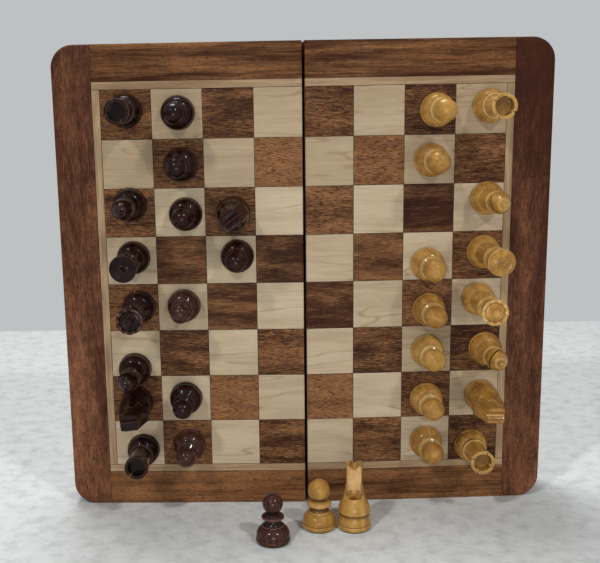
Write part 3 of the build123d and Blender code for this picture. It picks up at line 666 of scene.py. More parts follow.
STILE_WOOD = WoodFinish(
    "stile_wood", dark=shade(62, 29, 15), light=shade(138, 90, 62), pore=shade(40, 19, 11),
    band=(90, 14), line=(7, 1.1), pore_size=(1.8, 0.5), spread=0.6, fibre=0.4, pores=0.5,
    pore_share=0.4, mottle=0.2, gloss=0.12,
)
RAIL_WOOD = WoodFinish(
    "rail_wood", dark=shade(60, 30, 12), light=shade(144, 98, 60), pore=shade(44, 21, 10),
    band=(70, 4), line=(16, 0.6), pore_size=(2.6, 0.32), spread=0.9, fibre=0.5, pores=0.55,
    pore_share=0.4, mottle=0.08, gloss=0.12,
)
PALE_WOOD = WoodFinish(
    "pale_square_wood", dark=shade(170, 148, 118), light=shade(206, 187, 158),
    pore=shade(142, 112, 80), band=(60, 9), line=(16, 0.9), pore_size=(14, 0.25), spread=0.5,
    fibre=0.2, pores=0.4, pore_share=0.05, tone=0.9, veins=0.5, gloss=0.12,
)
BROWN_WOOD = WoodFinish(
    "brown_square_wood", dark=shade(56, 25, 8), light=shade(148, 102, 64), pore=shade(28, 12, 7),
    band=(40, 7), line=(6, 0.5), pore_size=(2.6, 0.28), spread=0.8, fibre=0.9, pores=0.8,
    pore_share=0.5, tone=0.9, mottle=0.1, gloss=0.12,
)
INLAY_WOOD = WoodFinish(
    "inlay_wood", dark=shade(142, 114, 84), light=shade(184, 156, 122), pore=shade(120, 92, 62),
    band=(50, 3), line=(20, 0.7), pore_size=(10, 0.3), spread=0.8, fibre=0.4, pores=0.4,
    pore_share=0.15, gloss=0.12,
)
HIDDEN_RAIL_WOOD = WoodFinish(
    "spine_rail_wood", dark=shade(70, 36, 16), light=shade(140, 90, 48), pore=shade(44, 21, 10),
    band=(70, 4), line=(16, 0.6), pore_size=(2.6, 0.32), pore_share=0.35, cut=Cut.OBJECT,
)
PLYWOOD = WoodFinish(
    "panel_plywood", dark=shade(160, 128, 92), light=shade(206, 176, 136), pore=shade(120, 88, 60),
    roughness=0.7, pores=0.3, cut=Cut.OBJECT,
)
DARK_MEN_WOOD = WoodFinish(
    "dark_chessman_wood", dark=shade(14, 4, 3), light=shade(48, 19, 12), pore=shade(8, 3, 2),
    band=(26, 3.2), line=(9, 0.5), pore_size=(2.4, 0.3), spread=0.8, fibre=0.6, pores=0.5,
    pore_share=0.4, painted_shade=shade(8, 5, 4), edge_highlight=shade(92, 62, 52), roughness=0.4, gloss=0.04,
    coat=0.85, relief=0.01,
)
WORN_MEN_WOOD = WoodFinish(
    "worn_dark_chessman_wood", dark=shade(28, 11, 8), light=shade(94, 54, 42), pore=shade(20, 9, 8),
    band=(30, 3), line=(9, 0.45), pore_size=(5, 0.35), spread=0.6, fibre=1.1, pores=0.7,
    pore_share=0.5, painted_shade=shade(12, 6, 5), edge_highlight=shade(132, 96, 80), roughness=0.4, gloss=0.06,
    coat=1.0, relief=0.01,
)
LIGHT_MEN_WOOD = WoodFinish(
    "light_chessman_wood", dark=shade(140, 94, 36), light=shade(198, 152, 78),
    pore=shade(120, 82, 38), band=(34, 4.5), line=(12, 0.6), pore_size=(4, 0.25), spread=0.7,
    fibre=0.35, pores=0.3, pore_share=0.1, painted_shade=shade(88, 56, 22), edge_highlight=shade(224, 186, 118),
    roughness=0.4, gloss=0.1, coat=1.0, relief=0.01,
)
GREEN_VELVET = VelvetFinish("green_velvet", shade(22, 66, 40), shade(120, 170, 130))
GREEN_FELT = VelvetFinish("green_felt", shade(24, 60, 38), shade(90, 130, 100))
BRASS = MetalFinish("hinge_brass", shade(206, 168, 92), shade(150, 108, 52))
NICKEL = MetalFinish(
    "magnet_nickel", shade(200, 199, 195), shade(168, 165, 160), 0.4, scratch=(0.4, 0.4, 0.4)
)
STEEL = MetalFinish("sheet_steel", shade(160, 161, 164), shade(112, 108, 104), 0.4)
GLUE = PlainFinish("glue_line", shade(38, 20, 13))


def dress(made: bpy.types.Object, material: bpy.types.Material, body: str,
          replaced: tuple[str, ...] = ()) -> bpy.types.Object:
    """Gives a new piece its material, its body and the nodes it stands for.

    Args:
        made: The new piece.
        material: Its material.
        body: The body it rides on.
        replaced: Nodes whose solids it stands for.

    Returns:
        The same piece.
    """
    paint(made, material)
    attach(made, body)
    if replaced:
        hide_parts(*replaced)
    LOG.info("%s: %d faces, on %s", made.name, len(made.data.polygons), body)
    return made


def paint(made: bpy.types.Object, material: bpy.types.Material) -> None:
    """Gives an object one material and no other."""
    made.data.materials.clear()
    made.data.materials.append(material)


def repaint(node: bpy.types.Object, material: bpy.types.Material) -> None:
    """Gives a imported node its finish."""
    paint(node, material)
    LOG.info("%s: repainted %s", node.name, material.name)


# The board


@dataclass
class BoardSizes:
    """Sizes of one half in millimetres, as the solids have them."""

    square_width: float = 25.8
    square_height: float = 24.9
    square_thickness: float = 2.0
    seam: float = 0.25
    fold_trim: float = 1.3
    columns: int = 4
    rows: int = 8
    inlay: float = 4.0
    stile: float = 20.0
    rail: float = 18.4
    depth: float = 25.0
    corner_radius: float = 11.5
    edge_round: float = 1.2
    fold_chamfer: float = 0.3
    rim_chamfer: float = 0.5
    spine_clearance: float = 0.1
    rim_clearance: float = 0.15
    spine: float = 8.0
    panel_rear: float = -19.65

    @property
    def rear(self) -> float:
        """Y of the rim."""
        return -self.rim_clearance

    @property
    def front(self) -> float:
        """Y of the playing surface."""
        return self.rear - self.depth

    @property
    def squares_end(self) -> float:
        """X where the squares end."""
        return self.columns * self.square_width - self.fold_trim

    @property
    def stile_start(self) -> float:
        """X where the stile starts."""
        return self.squares_end + self.inlay

    @property
    def width(self) -> float:
        """X of the outer edge."""
        return self.stile_start + self.stile

    @property
    def squares_low(self) -> float:
        """Z of the lowest square's lower edge."""
        return self.rail + self.inlay

    @property
    def squares_high(self) -> float:
        """Z of the highest square's upper edge."""
        return self.squares_low + self.rows * self.square_height

    @property
    def height(self) -> float:
        """Height of the whole board."""
        return self.squares_high + self.squares_low

    @property
    def rail_low(self) -> float:
        """Z of the top rail's lower edge."""
        return self.height - self.rail


def prism(outline: Array, front: float, rear: float) -> tuple[Array, list]:
    """A closed slab: an outline in X and Z, counter-clockwise seen from the front, carried along Y.

    Vertices are the front ring and then the rear ring, in the outline's order.
    """
    count = len(outline)
    rings = [np.stack([outline[:, 0], np.full(count, y), outline[:, 1]], -1) for y in (front, rear)]
    number = np.arange(count)
    after = (number + 1) % count
    sides = np.stack([number, number + count, after + count, after], -1).tolist()
    return np.concatenate(rings), [number.tolist(), (number[::-1] + count).tolist(), *sides]


@dataclass
class FrameMembers:
    """Stile and rails of one half, sanded round at the outer edges."""

    sizes: BoardSizes
    half: Half
    place: Place
    corner_steps: int = 16
    inner_ease: float = 0.14
    rear_share: float = 0.1
    magnet_height: float = 60.0
    socket_radius: float = 4.05
    socket_depth: float = 3.4
    socket_proud: float = 0.6

    def member(self, name: str, outline: Array, outer: Array, along: int, seed: float,
               tones: Point) -> bpy.types.Object:
        """A member with its outer edges rounded and its inner ones just broken.

        Args:
            name: The piece's name.
            outline: Corners in X and Z, counter-clockwise from the front.
            outer: Whether each edge, from its corner to the next, is on the outside of the box.
            along: Axis of the grain, 0 for X or 2 for Z.
            seed: Shift into other timber, in millimetres.
            tones: Tone at the lower and at the upper end of the board.

        Returns:
            The member.
        """
        sizes, count = self.sizes, len(outline)
        vertices, faces = prism(outline, sizes.front, sizes.rear)
        order = [along, 2 - along, 1]
        grain = vertices[:, order] + np.array([0, seed, seed])
        made = Draft().add(vertices, faces, grain).make(name, self.place, None)
        outer_shares = (1.0, sizes.rim_chamfer / sizes.edge_round)
        inner_shares = (self.inner_ease / sizes.edge_round, self.rear_share)
        weights = {}
        for number, outside in enumerate(outer):
            after = (number + 1) % count
            front, rear = outer_shares if outside else inner_shares
            weights[number, after] = front
            weights[number + count, after + count] = rear
        bevelled(made, weights, sizes.edge_round * MM)
        self.regrain(made, order, seed, tones)
        return made

    def regrain(self, made: bpy.types.Object, order: list[int], seed: float, tones: Point) -> None:
        """Works the grain out again from the finished mesh: own point, reordered and shifted.

        The tone runs evenly from the board's lower end to its upper end; it falls towards the top,
        partly as painted shade and partly as the timber's own tone.
        """
        mesh = made.data
        own = self.place.own(mesh)
        write_attribute(mesh, "grain", (own[:, order] + np.array([0, seed, seed])) * MM)
        write_attribute(mesh, "tone", np.interp(own[:, 2], [0, self.sizes.height], tones))

    def stile(self) -> bpy.types.Object:
        """Upright outer member with two large rounded corners and the closure magnets' sockets."""
        sizes, radius = self.sizes, self.sizes.corner_radius
        left, right, top = sizes.stile_start, sizes.width, sizes.height
        turn = np.linspace(0, math.pi / 2, self.corner_steps + 1)
        ring = radius * np.stack([np.sin(turn), 1 - np.cos(turn)], -1)
        low = np.array([right - radius, 0]) + ring
        high = np.array([low[:, 0], top - low[:, 1]]).T[::-1]
        outline = np.concatenate([[[left, 0]], low, high, [[left, top]]])
        outer = np.array([True] * (len(outline) - 1) + [False])
        seed = 40.0 + 90 * self.half.value
        # Darker towards the top: partly painted shade, partly the timber's own tone.
        tones = (0.15, -0.4) if self.half is Half.LEFT else (0.3, -1.3)
        made = self.member(self.half.node("stile"), outline, outer, 2, seed, tones)
        return cut(made, self.sockets())

    def sockets(self) -> list[bpy.types.Object]:
        """Short cylinders that stand where the closure magnets are let in."""
        sizes, found = self.sizes, []
        middle = sizes.stile_start + sizes.stile / 2
        vertices, faces = cylinder(self.socket_radius, -self.socket_depth, self.socket_proud, 48)
        for height in (self.magnet_height, sizes.height - self.magnet_height):
            laid = vertices @ turn_about(0, -90).T + [middle, sizes.rear, height]
            found.append(Draft().add(laid, faces).make(f"socket_{height:.0f}", self.place))
        return found

    def rail(self, top: bool) -> bpy.types.Object:
        """Level member between the fold and the stile."""
        sizes = self.sizes
        low, high = (sizes.rail_low, sizes.height) if top else (0.0, sizes.rail)
        start, end = sizes.spine_clearance, sizes.stile_start
        outline = np.array([(start, low), (end, low), (end, high), (start, high)], float)
        outer = np.array([not top, False, top, False])
        name = self.half.node("upper_rail" if top else "lower_rail")
        seed = 200.0 + 70 * self.half.value + (35 if top else 0)
        # Darker towards the top: partly painted shade, partly the timber's own tone.
        tones = (0.5 if self.half is Half.LEFT else 0.25, -0.3)
        return self.member(name, outline, outer, 0, seed, tones)

    def build(self, stile_wood: bpy.types.Material, rail_wood: bpy.types.Material) -> None:
        """Builds and dresses the members."""
        half = self.half
        dress(self.stile(), stile_wood, half.body, (half.node("outer_stile"),))
        dress(self.rail(True), rail_wood, half.body, (half.node("top_rail"),))
        dress(self.rail(False), rail_wood, half.body, (half.node("bottom_rail"),))


class Figure(Enum):
    """How the timber of a brown square looks: its tone, and how far it lacks pores and fibres."""

    GOLDEN = (0.45, 0.1)
    PLAIN = (0.0, 0.0)
    SMOOTH = (-0.15, 0.4)
    DUSKY = (-0.35, 0.35)


FIGURED_SQUARES = {
    (4, 2): Figure.GOLDEN, (6, 2): Figure.GOLDEN, (3, 7): Figure.GOLDEN, (5, 7): Figure.GOLDEN,
    (4, 4): Figure.DUSKY, (7, 3): Figure.DUSKY, (2, 4): Figure.SMOOTH, (6, 4): Figure.SMOOTH,
    (3, 5): Figure.SMOOTH, (5, 5): Figure.SMOOTH,
}


@dataclass
class PlayingSurface:
    """Squares, inlay strips and glue lines of one half."""

    sizes: BoardSizes
    half: Half
    place: Place
    random: np.random.Generator
    ease: float = 0.05
    glue_sink: float = 0.07
    glue_depth: float = 0.6
    glue_fold_gap: float = 0.35
    glue_stile_gap: float = 0.05
    timber_reach: float = 400.0
    timber_depth: float = 60.0
    tone_spread: float = 0.12
    # Pale squares in the top rows are darkened by dusk, as painted shade.
    shaded_pale_rows: int = 2
    dusk: float = 0.3

    def tile(self, draft: Draft, x: Point, z: Point, tone: float, along: int = 0,
             calm: float = 0.0) -> None:
        """Adds a thin slab drawn in by half a seam, with its front edges just broken.

        The slab has a ring at the front face, drawn in and level, two just behind it and one at the
        back; at the fold the first two leave room for the bevel planed off both halves.

        Args:
            draft: What it is added to.
            x: Its two ends in X.
            z: Its two ends in Z.
            tone: Its tone.
            along: Axis of the grain, 0 for X or 2 for Z.
            calm: How far it lacks pores and fibres.
        """
        sizes = self.sizes
        half_seam = sizes.seam / 2
        at_fold = x[0] <= sizes.spine_clearance
        left = x[0] if at_fold else x[0] + half_seam
        right, low, high = x[1] - half_seam, z[0] + half_seam, z[1] - half_seam
        bevel = sizes.fold_chamfer if at_fold else self.ease
        rings = []
        for y, near, far in (
            (sizes.front, bevel, self.ease),
            (sizes.front + self.ease, (bevel - self.ease) * at_fold, 0.0),
            (sizes.front + bevel, 0.0, 0.0),
            (sizes.front + sizes.square_thickness, 0.0, 0.0),
        ):
            a, b, c, d = left + near, right - far, low + far, high - far
            rings.append([(a, y, c), (b, y, c), (b, y, d), (a, y, d)])
        vertices = np.array(rings).reshape(-1, 3)
        sides = grid_faces(4, 4)[:, ::-1].tolist()
        order = [along, 2 - along, 1]
        reach, depth = self.timber_reach, self.timber_depth
        shift = np.append(self.random.uniform(-reach, reach, 2), self.random.uniform(-depth, depth))
        faces = [[0, 1, 2, 3], [15, 14, 13, 12], *sides]
        draft.add(vertices, faces, vertices[:, order] + shift, tone, calm)

    def squares(self, dark: bool) -> Draft:
        """The squares of one colour; the one at the board's top left corner is dark."""
        sizes, draft = self.sizes, Draft()
        for step in range(sizes.columns):
            column = sizes.columns - step if self.half is Half.LEFT else sizes.columns + 1 + step
            low_x = max(step * sizes.square_width - sizes.fold_trim, sizes.spine_clearance)
            high_x = (step + 1) * sizes.square_width - sizes.fold_trim
            for row in range(1, sizes.rows + 1):
                if ((column + row) % 2 == 0) != dark:
                    continue
                figure = FIGURED_SQUARES.get((column, row), Figure.PLAIN)
                tone, calm = figure.value
                # Painted shade: pale squares in the top rows are darkened.
                dusk = 0.0 if dark or row > self.shaded_pale_rows else self.dusk
                tone += float(self.random.uniform(-self.tone_spread, self.tone_spread)) - dusk
                high_z = sizes.squares_high - (row - 1) * sizes.square_height
                low_z = high_z - sizes.square_height
                self.tile(draft, (low_x, high_x), (low_z, high_z), tone, calm=calm)
        return draft

    def strips(self) -> Draft:
        """The pale strips along both rails and the stile."""
        sizes, draft = self.sizes, Draft()
        along = (sizes.spine_clearance, sizes.stile_start)
        self.tile(draft, along, (sizes.rail, sizes.squares_low), 0.1)
        self.tile(draft, along, (sizes.squares_high, sizes.rail_low), -0.1)
        beside = (sizes.squares_end, sizes.stile_start)
        self.tile(draft, beside, (sizes.squares_low, sizes.squares_high), 0.0, along=2)
        return draft

    def glue(self) -> Draft:
        """Narrow bars that fill the seams to just below the surface."""
        sizes, draft = self.sizes, Draft()
        y = (sizes.front + self.glue_sink, sizes.front + self.glue_depth)
        half_seam = sizes.seam / 2
        start = sizes.spine_clearance + self.glue_fold_gap
        across = (start, sizes.stile_start - self.glue_stile_gap)
        heights = [sizes.squares_low + row * sizes.square_height for row in range(sizes.rows + 1)]
        for z in [sizes.rail + half_seam / 2, *heights, sizes.rail_low - half_seam / 2]:
            draft.add(*box_shell(across, y, (z - half_seam, z + half_seam)))
        steps = range(1, sizes.columns + 1)
        uprights = [step * sizes.square_width - sizes.fold_trim for step in steps]
        upright_z = (sizes.squares_low, sizes.squares_high)
        for x in [*uprights, sizes.stile_start - half_seam / 2]:
            draft.add(*box_shell((x - half_seam, x + half_seam), y, upright_z))
        return draft

    def build(self, woods: dict[str, bpy.types.Material]) -> None:
        """Builds and dresses the surface."""
        half, place = self.half, self.place
        pieces = {
            "brown_squares": (self.squares(True), "brown_square_wood", "dark_squares"),
            "pale_squares": (self.squares(False), "pale_square_wood", "light_squares"),
            "pale_strips": (self.strips(), "inlay_wood", "inlay_strips"),
        }
        for name, (draft, slot, node) in pieces.items():
            made = draft.make(half.node(name), place, math.radians(20))
            dress(made, woods[slot], half.body, (half.node(node),))
        made = self.glue().make(half.node("glue_lines"), place)
        dress(made, woods["glue_line"], half.body)


# The lined tray


@dataclass
class StorageTray:
    """Velvet-covered foam with a pocket for each chessman, its edges soft and a little uneven."""

    sizes: BoardSizes
    half: Half
    place: Place
    random: np.random.Generator
    columns: int = 4
    rows: int = 4
    pocket_width: float = 19.0
    pocket_length: float = 47.3
    floor: float = -18.05
    sink: float = 0.4
    play: float = 0.2
    edge_round: float = 2.0
    corner: float = 2.6
    around: int = 72
    lean: float = 0.1
    floor_round: float = 1.6
    wall_depths: Point = (7.0, 12.0)
    unevenness: float = 0.012

    @property
    def rays(self) -> Array:
        """Unit vectors evenly round a cell's middle."""
        turn = np.linspace(0, math.tau, self.around, endpoint=False) + math.pi / self.around
        return np.stack([np.cos(turn), np.sin(turn)], -1)

    def loop(self, half_x: Array, half_z: Array) -> Array:
        """Rounded rectangles about the origin, a row of points for each set of sizes.

        At angle t the point is on the superellipse |x/a|^n + |z/b|^n = 1 whose power n grows as the
        corner shrinks beside the shorter side.
        """
        power = np.clip(2.2 * np.minimum(half_x, half_z) / self.corner, 2.5, 60)[:, None]
        c, s = self.rays.T[:, None]
        a, b = half_x[:, None], half_z[:, None]
        reach = (np.abs(c / a) ** power + np.abs(s / b) ** power) ** (-1 / power)
        return reach[..., None] * self.rays

    def cell_loop(self, half_x: float, half_z: float) -> Array:
        """The cell's own rectangle, cut by the same rays as the loops.

        The ray nearest to each corner ends at the corner itself, so that four cells meet there.
        """
        reach = (np.array([half_x, half_z]) / np.abs(self.rays)).min(1)
        border = reach[:, None] * self.rays
        for corner in itertools.product((half_x, -half_x), (half_z, -half_z)):
            border[np.linalg.norm(border - corner, axis=1).argmin()] = corner
        return border

    def cell(self, middle: Point, half_x: float, half_z: float) -> tuple[Array, list]:
        """One cell of the tray, from its border over the soft edge and down to the pocket's floor.

        Each ring has its own size and depth: a quarter circle over the edge, a wall that leans in a
        little, and a quarter circle into the floor.
        """
        top, bottom, r = self.sizes.rear - self.sink, self.floor, self.edge_round
        a, b = self.pocket_width / 2, self.pocket_length / 2
        lean, foot = self.lean, self.floor_round
        over = np.linspace(0, math.pi / 2, 6)
        into = np.linspace(0, math.pi / 2, 5)
        wall = [-lean / 2, -lean]
        grow = np.concatenate([r * (1 - np.sin(over)), wall, -lean - foot * (1 - np.cos(into))])
        hollow = top - bottom - foot * (1 - np.sin(into))
        drop = np.concatenate([r * (1 - np.cos(over)), self.wall_depths, hollow])
        loops = self.loop(a + grow, b + grow)
        border = self.cell_loop(half_x, half_z)
        inner = [loops[-1] * share for share in (0.6, 0.25)]
        rings = np.concatenate([[border], loops, inner])
        depth = np.concatenate([[0.0], drop, np.full(2, top - bottom)])
        wave = self.random.uniform(-1, 1, 4)
        angle = np.linspace(0, math.tau, self.around, endpoint=False)
        bulge = 0.12 * (wave[0] * np.sin(2 * angle) + wave[1] * np.sin(3 * angle + wave[2] * 3))
        inside = (np.arange(len(rings)) > 3) & (np.arange(len(rings)) < 11)
        swell = np.outer(inside * self.unevenness, np.maximum(0, bulge * 6))
        rings = rings * (1 - swell)[..., None]
        points = np.stack([
            rings[..., 0] + middle[0],
            np.broadcast_to((top - depth)[:, None], rings.shape[:2]),
            rings[..., 1] + middle[1],
        ], -1)
        faces = grid_faces(len(rings), self.around).tolist()
        last = (len(rings) - 1) * self.around
        centre = [list(range(last, last + self.around))]
        return points.reshape(-1, 3), faces + centre

    def rim(self, borders: Array, low: Array, high: Array) -> Array:
        """The cells' border points on the tray's own outline, in order round it.

        Args:
            borders: Points of all cells' borders, in X and Z.
            low: The tray's lower corner.
            high: Its upper corner.

        Returns:
            The points, counter-clockwise seen from the front.
        """
        outer = borders[(np.isclose(borders, low) | np.isclose(borders, high)).any(1)]
        outer = np.unique(np.round(outer, 4), axis=0)
        away = outer - (low + high) / 2
        return outer[np.argsort(np.arctan2(away[:, 1], away[:, 0]))]

    def build(self, velvet: bpy.types.Material) -> None:
        """Builds and dresses the tray."""
        sizes, play = self.sizes, self.play
        low = np.array([sizes.spine, sizes.rail])
        high = np.array([sizes.stile_start, sizes.rail_low])
        step = (high - low) / (self.columns, self.rows)
        draft, borders = Draft(), []
        for number in itertools.product(range(self.columns), range(self.rows)):
            points, faces = self.cell(low + (np.array(number) + 0.5) * step, *(step / 2))
            points[:, [0, 2]] = np.clip(points[:, [0, 2]], low + play, high - play)
            draft.add(points, faces)
            borders.append(points[:self.around, [0, 2]])
        ring = self.rim(np.concatenate(borders), low + play, high - play)
        vertices, faces = prism(ring, sizes.panel_rear, sizes.rear - self.sink)
        draft.add(vertices, [faces[0], *faces[2:]])
        made = draft.make(self.half.node("velvet_tray"), self.place, math.radians(50))
        join = made.modifiers.new("join", "WELD")
        join.merge_threshold = 0.02 * MM
        finished(made, math.radians(50))
        node = self.half.node("storage_insert")
        dress(made, velvet, self.half.body, (node,))


# The chessmen


def capped(grid: Array, poles: Array, flipped: bool = False) -> tuple[Array, list]:
    """A grid closed round its columns, with a fan of triangles to a pole at each end.

    Args:
        grid: Points by row, column and axis.
        poles: The pole before the first row, and the one after the last.
        flipped: Whether the faces run the other way round.

    Returns:
        Vertices, the poles last, and faces.
    """
    rows, columns = grid.shape[:2]
    count = rows * columns
    number = np.arange(columns)
    after = (number + 1) % columns
    one, two = (number, after) if flipped else (after, number)
    pole, start = np.full(columns, count), count - columns
    fans = [np.stack([pole, one, two], -1), np.stack([pole + 1, start + two, start + one], -1)]
    sides = grid_faces(rows, columns)[:, ::-1 if flipped else 1]
    faces = sides.tolist() + np.concatenate(fans).tolist()
    return np.concatenate([grid.reshape(-1, 3), poles]), faces


def revolved(points: Array, segments: int) -> tuple[Array, list]:
    """A line of (radius, height) points, from the axis at the foot to the axis at the top, turned
    about Z: x is radius times cosine, y radius times sine. Each end is one pole vertex."""
    turn = np.linspace(0, math.tau, segments, endpoint=False)
    body = points[1:-1]
    ring = np.stack([np.cos(turn), np.sin(turn)], -1)
    circle = body[:, None, :1] * ring[None]
    height = np.broadcast_to(body[:, None, 1:], (*circle.shape[:2], 1))
    poles = np.array([[0, 0, points[0, 1]], [0, 0, points[-1, 1]]])
    return capped(np.concatenate([circle, height], -1), poles)


def cylinder(radius: float, low: float, high: float, segments: int) -> tuple[Array, list]:
    """A closed cylinder about Z between two heights."""
    rows = [(0, low), (radius, low), (radius, high), (0, high)]
    return revolved(np.array(rows, float), segments)


def pillow(loop: Array, centre: Point, thickness: Array, rounding: float,
           rings: int = 26) -> tuple[Array, list]:
    """A flat shape with rounded edges: both faces and the rim as one grid.

    Along the loop runs the outline; across it the rings go from the middle of one face out to the
    rim, round the edge as a quarter circle, over to the other side and back to the middle.

    Args:
        loop: Outline in X and Z, seen whole from the centre, clockwise from the front.
        centre: Point the rings shrink to.
        thickness: Half thickness at each point of the loop.
        rounding: Radius of the rounded edges.
        rings: Number of rings on a face.

    Returns:
        Vertices and faces, with the middle of each face as its last two vertices.
    """
    middle = np.array(centre, float)
    out = loop - middle
    reach = np.linalg.norm(out, axis=1)
    depth = float(thickness.mean())
    rows, widths = [], []
    for share in 1 - (1 - np.arange(1, rings + 1) / rings) ** 0.8:
        rows.append(share * (1 - rounding / reach))
        widths.append(depth + (thickness - depth) * share)
    for angle in np.linspace(0, math.pi / 2, 5)[1:]:
        rows.append(1 - (rounding * (1 - math.sin(angle))) / reach)
        widths.append(thickness - rounding * (1 - math.cos(angle)))
    for share in np.linspace(1, 0, 7)[1:]:
        rows.append(np.ones(len(loop)))
        widths.append((thickness - rounding) * share)
    scale = np.array(rows + rows[-2::-1])
    width = np.array(widths + [-w for w in widths[-2::-1]])
    flat = middle + scale[..., None] * out[None]
    grid = np.stack([flat[..., 0], -width, flat[..., 1]], -1)
    poles = np.array([[centre[0], side * depth, centre[1]] for side in (-1, 1)])
    return capped(grid, poles, flipped=True)


@dataclass
class Base:
    """Sizes that all chessmen share, in millimetres."""

    radius: float = 8.7
    felt: float = 0.6
    felt_margin: float = 0.7
    rim: float = 2.0
    groove: float = 0.6
    groove_cut: float = 0.7
    dome_top: float = 8.2
    shoulder: float = 6.0
    step: float = 0.5
    ring: float = 1.5
    collar: float = 2.6
    collar_lift: float = 0.3
    collar_step: float = 0.8

    def outline(self, shoulder: float | None = None) -> list[Step]:
        """Rim, groove and dome, from the foot up."""
        shoulder = self.shoulder if shoulder is None else shoulder
        rim_top = self.felt + self.rim
        waist, edge = self.radius - self.groove_cut, self.radius - self.groove_cut / 2
        dome_low = rim_top + self.groove
        bulge = (edge - (edge - shoulder) * 0.21, dome_low + (self.dome_top - dome_low) * 0.56)
        return [
            (0.0, self.felt), (edge, self.felt),
            ((self.radius, self.felt + self.rim / 2), (edge, rim_top)),
            (waist, rim_top + self.groove * 0.2), (waist, dome_low - self.groove * 0.2),
            (edge, dome_low), (bulge, (shoulder, self.dome_top)),
        ]

    def stem(self, neck: float, height: float) -> list[Step]:
        """Base and stem: a small step on the dome, then a hollow curve up to the neck."""
        foot, step_low = self.shoulder - self.step, self.dome_top + self.step / 2
        step_top = step_low + self.step
        hollow = (neck + (foot - neck) * 0.28, step_top + (height - step_top) * 0.42)
        return self.outline() + [(foot, step_low), (foot, step_top), (hollow, (neck, height))]

    def half_ring(self, inner: float, outer: float, low: float) -> list[Step]:
        """A half-round ring on a stem."""
        return [(inner, low), ((outer, low + self.ring / 2), (inner, low + self.ring))]

    def double_ring(self, inner: float, outer: float, low: float) -> list[Step]:
        """A half-round ring with a smaller one on top of it."""
        step, top = low + self.ring, low + self.collar
        upper = ((outer - self.collar_step, (step + top) / 2), (inner, top))
        return self.half_ring(inner, outer, low) + [upper]

    def collared(self, neck: float, radius: float, low: float, seat: float = 0.7) -> list[Step]:
        """Base and stem with a double ring just above the stem's end."""
        return self.stem(neck, low) + self.double_ring(neck + seat, radius, low + self.collar_lift)

    def flange(self, inner: float, outer: float, low: float) -> list[Step]:
        """A flange with a rounded lip, from which its top slopes up to what is on it."""
        return [(inner, low), ((outer, low + self.ring / 2), (outer - 0.4, low + self.ring))]


def ball(radius: float, middle: float, neck: float) -> list[Step]:
    """A ball on top of a neck, up to the axis."""
    low = middle - math.sqrt(radius**2 - neck**2)
    return [(neck, low), ((radius, middle), (0.0, middle + radius))]


@dataclass
class Chessman:
    """A turned chessman: an outline, and whatever is carved or added afterwards."""

    base: Base = field(default_factory=Base)
    segments: int = 80
    ease: float = 0.1
    groove_depth: float = 0.7
    groove_step: float = 0.2
    groove_window: int = 7

    def outline(self) -> list[Step]:
        """Outline from the axis at the foot up to the axis at the top."""
        raise NotImplementedError

    def carve(self, points: Array) -> Array:
        """Moves the turned points where the piece isn't round."""
        return points

    def extras(self) -> list[tuple[Array, list]]:
        """Shells that stand on the turned one."""
        return []

    def cutters(self) -> list[tuple[Array, list]]:
        """Closed shells to be sawn out."""
        return []

    def grooves(self, points: Array) -> Array:
        """How deep each point lies in a turned groove, from 0 to 1.

        The piece's radius is taken at steps up its height and closed: each step gets the least of
        the greatest radii near it, which bridges narrow hollows and leaves slopes and rings as they
        are. A groove is as deep as the bridge is over the radius.
        """
        window = self.groove_window
        height = np.round(points[:, 2] / self.groove_step).astype(int)
        height -= height.min()
        radius = np.zeros(height.max() + 1)
        np.maximum.at(radius, height, np.hypot(points[:, 0], points[:, 1]))
        known = np.flatnonzero(radius)
        radius = np.interp(np.arange(len(radius)), known, radius[known])
        padded = np.pad(radius, 2 * window)
        wide = sliding_window_view(padded, 2 * window + 1).max(1)
        bridge = sliding_window_view(wide, 2 * window + 1).min(1)
        return np.clip((bridge - radius) / self.groove_depth, 0, 1)[height]

    def painted_shade(self, points: Array) -> Array:
        """How much shade is painted at each point, from 0 to 1: here in the grooves."""
        return self.grooves(points)

    def draft(self) -> Draft:
        """The wood as one draft, without its saw cuts."""
        line = eased(trace(self.outline()), self.ease)
        vertices, faces = revolved(line, self.segments)
        draft = Draft().add(self.carve(vertices), faces)
        for shell in self.extras():
            draft.add(*shell)
        return draft

    def felt(self) -> Draft:
        """The felt pad, its edge soft."""
        radius, thick = self.base.radius - self.base.felt_margin, self.base.felt
        rows = [
            (0, 0), (radius - 0.1, 0), (radius, 0.1), (radius + 0.05, thick / 2), (radius, thick),
            (0, thick),
        ]
        return Draft().add(*revolved(np.array(rows, float), 64))


@dataclass
class Pawn(Chessman):
    """A flange and a ball head."""

    head: float = 5.7
    head_middle: float = 20.0
    neck: float = 3.7
    collar_low: float = 12.0
    collar_radius: float = 6.3
    collar_seat: float = 0.7

    def outline(self) -> list[Step]:
        """Stem, flange and head."""
        flange_low = self.collar_low + self.base.collar_lift
        return (
            self.base.stem(self.neck, self.collar_low)
            + self.base.flange(self.neck + self.collar_seat, self.collar_radius, flange_low)
            + ball(self.head, self.head_middle, self.head * 0.55)
        )


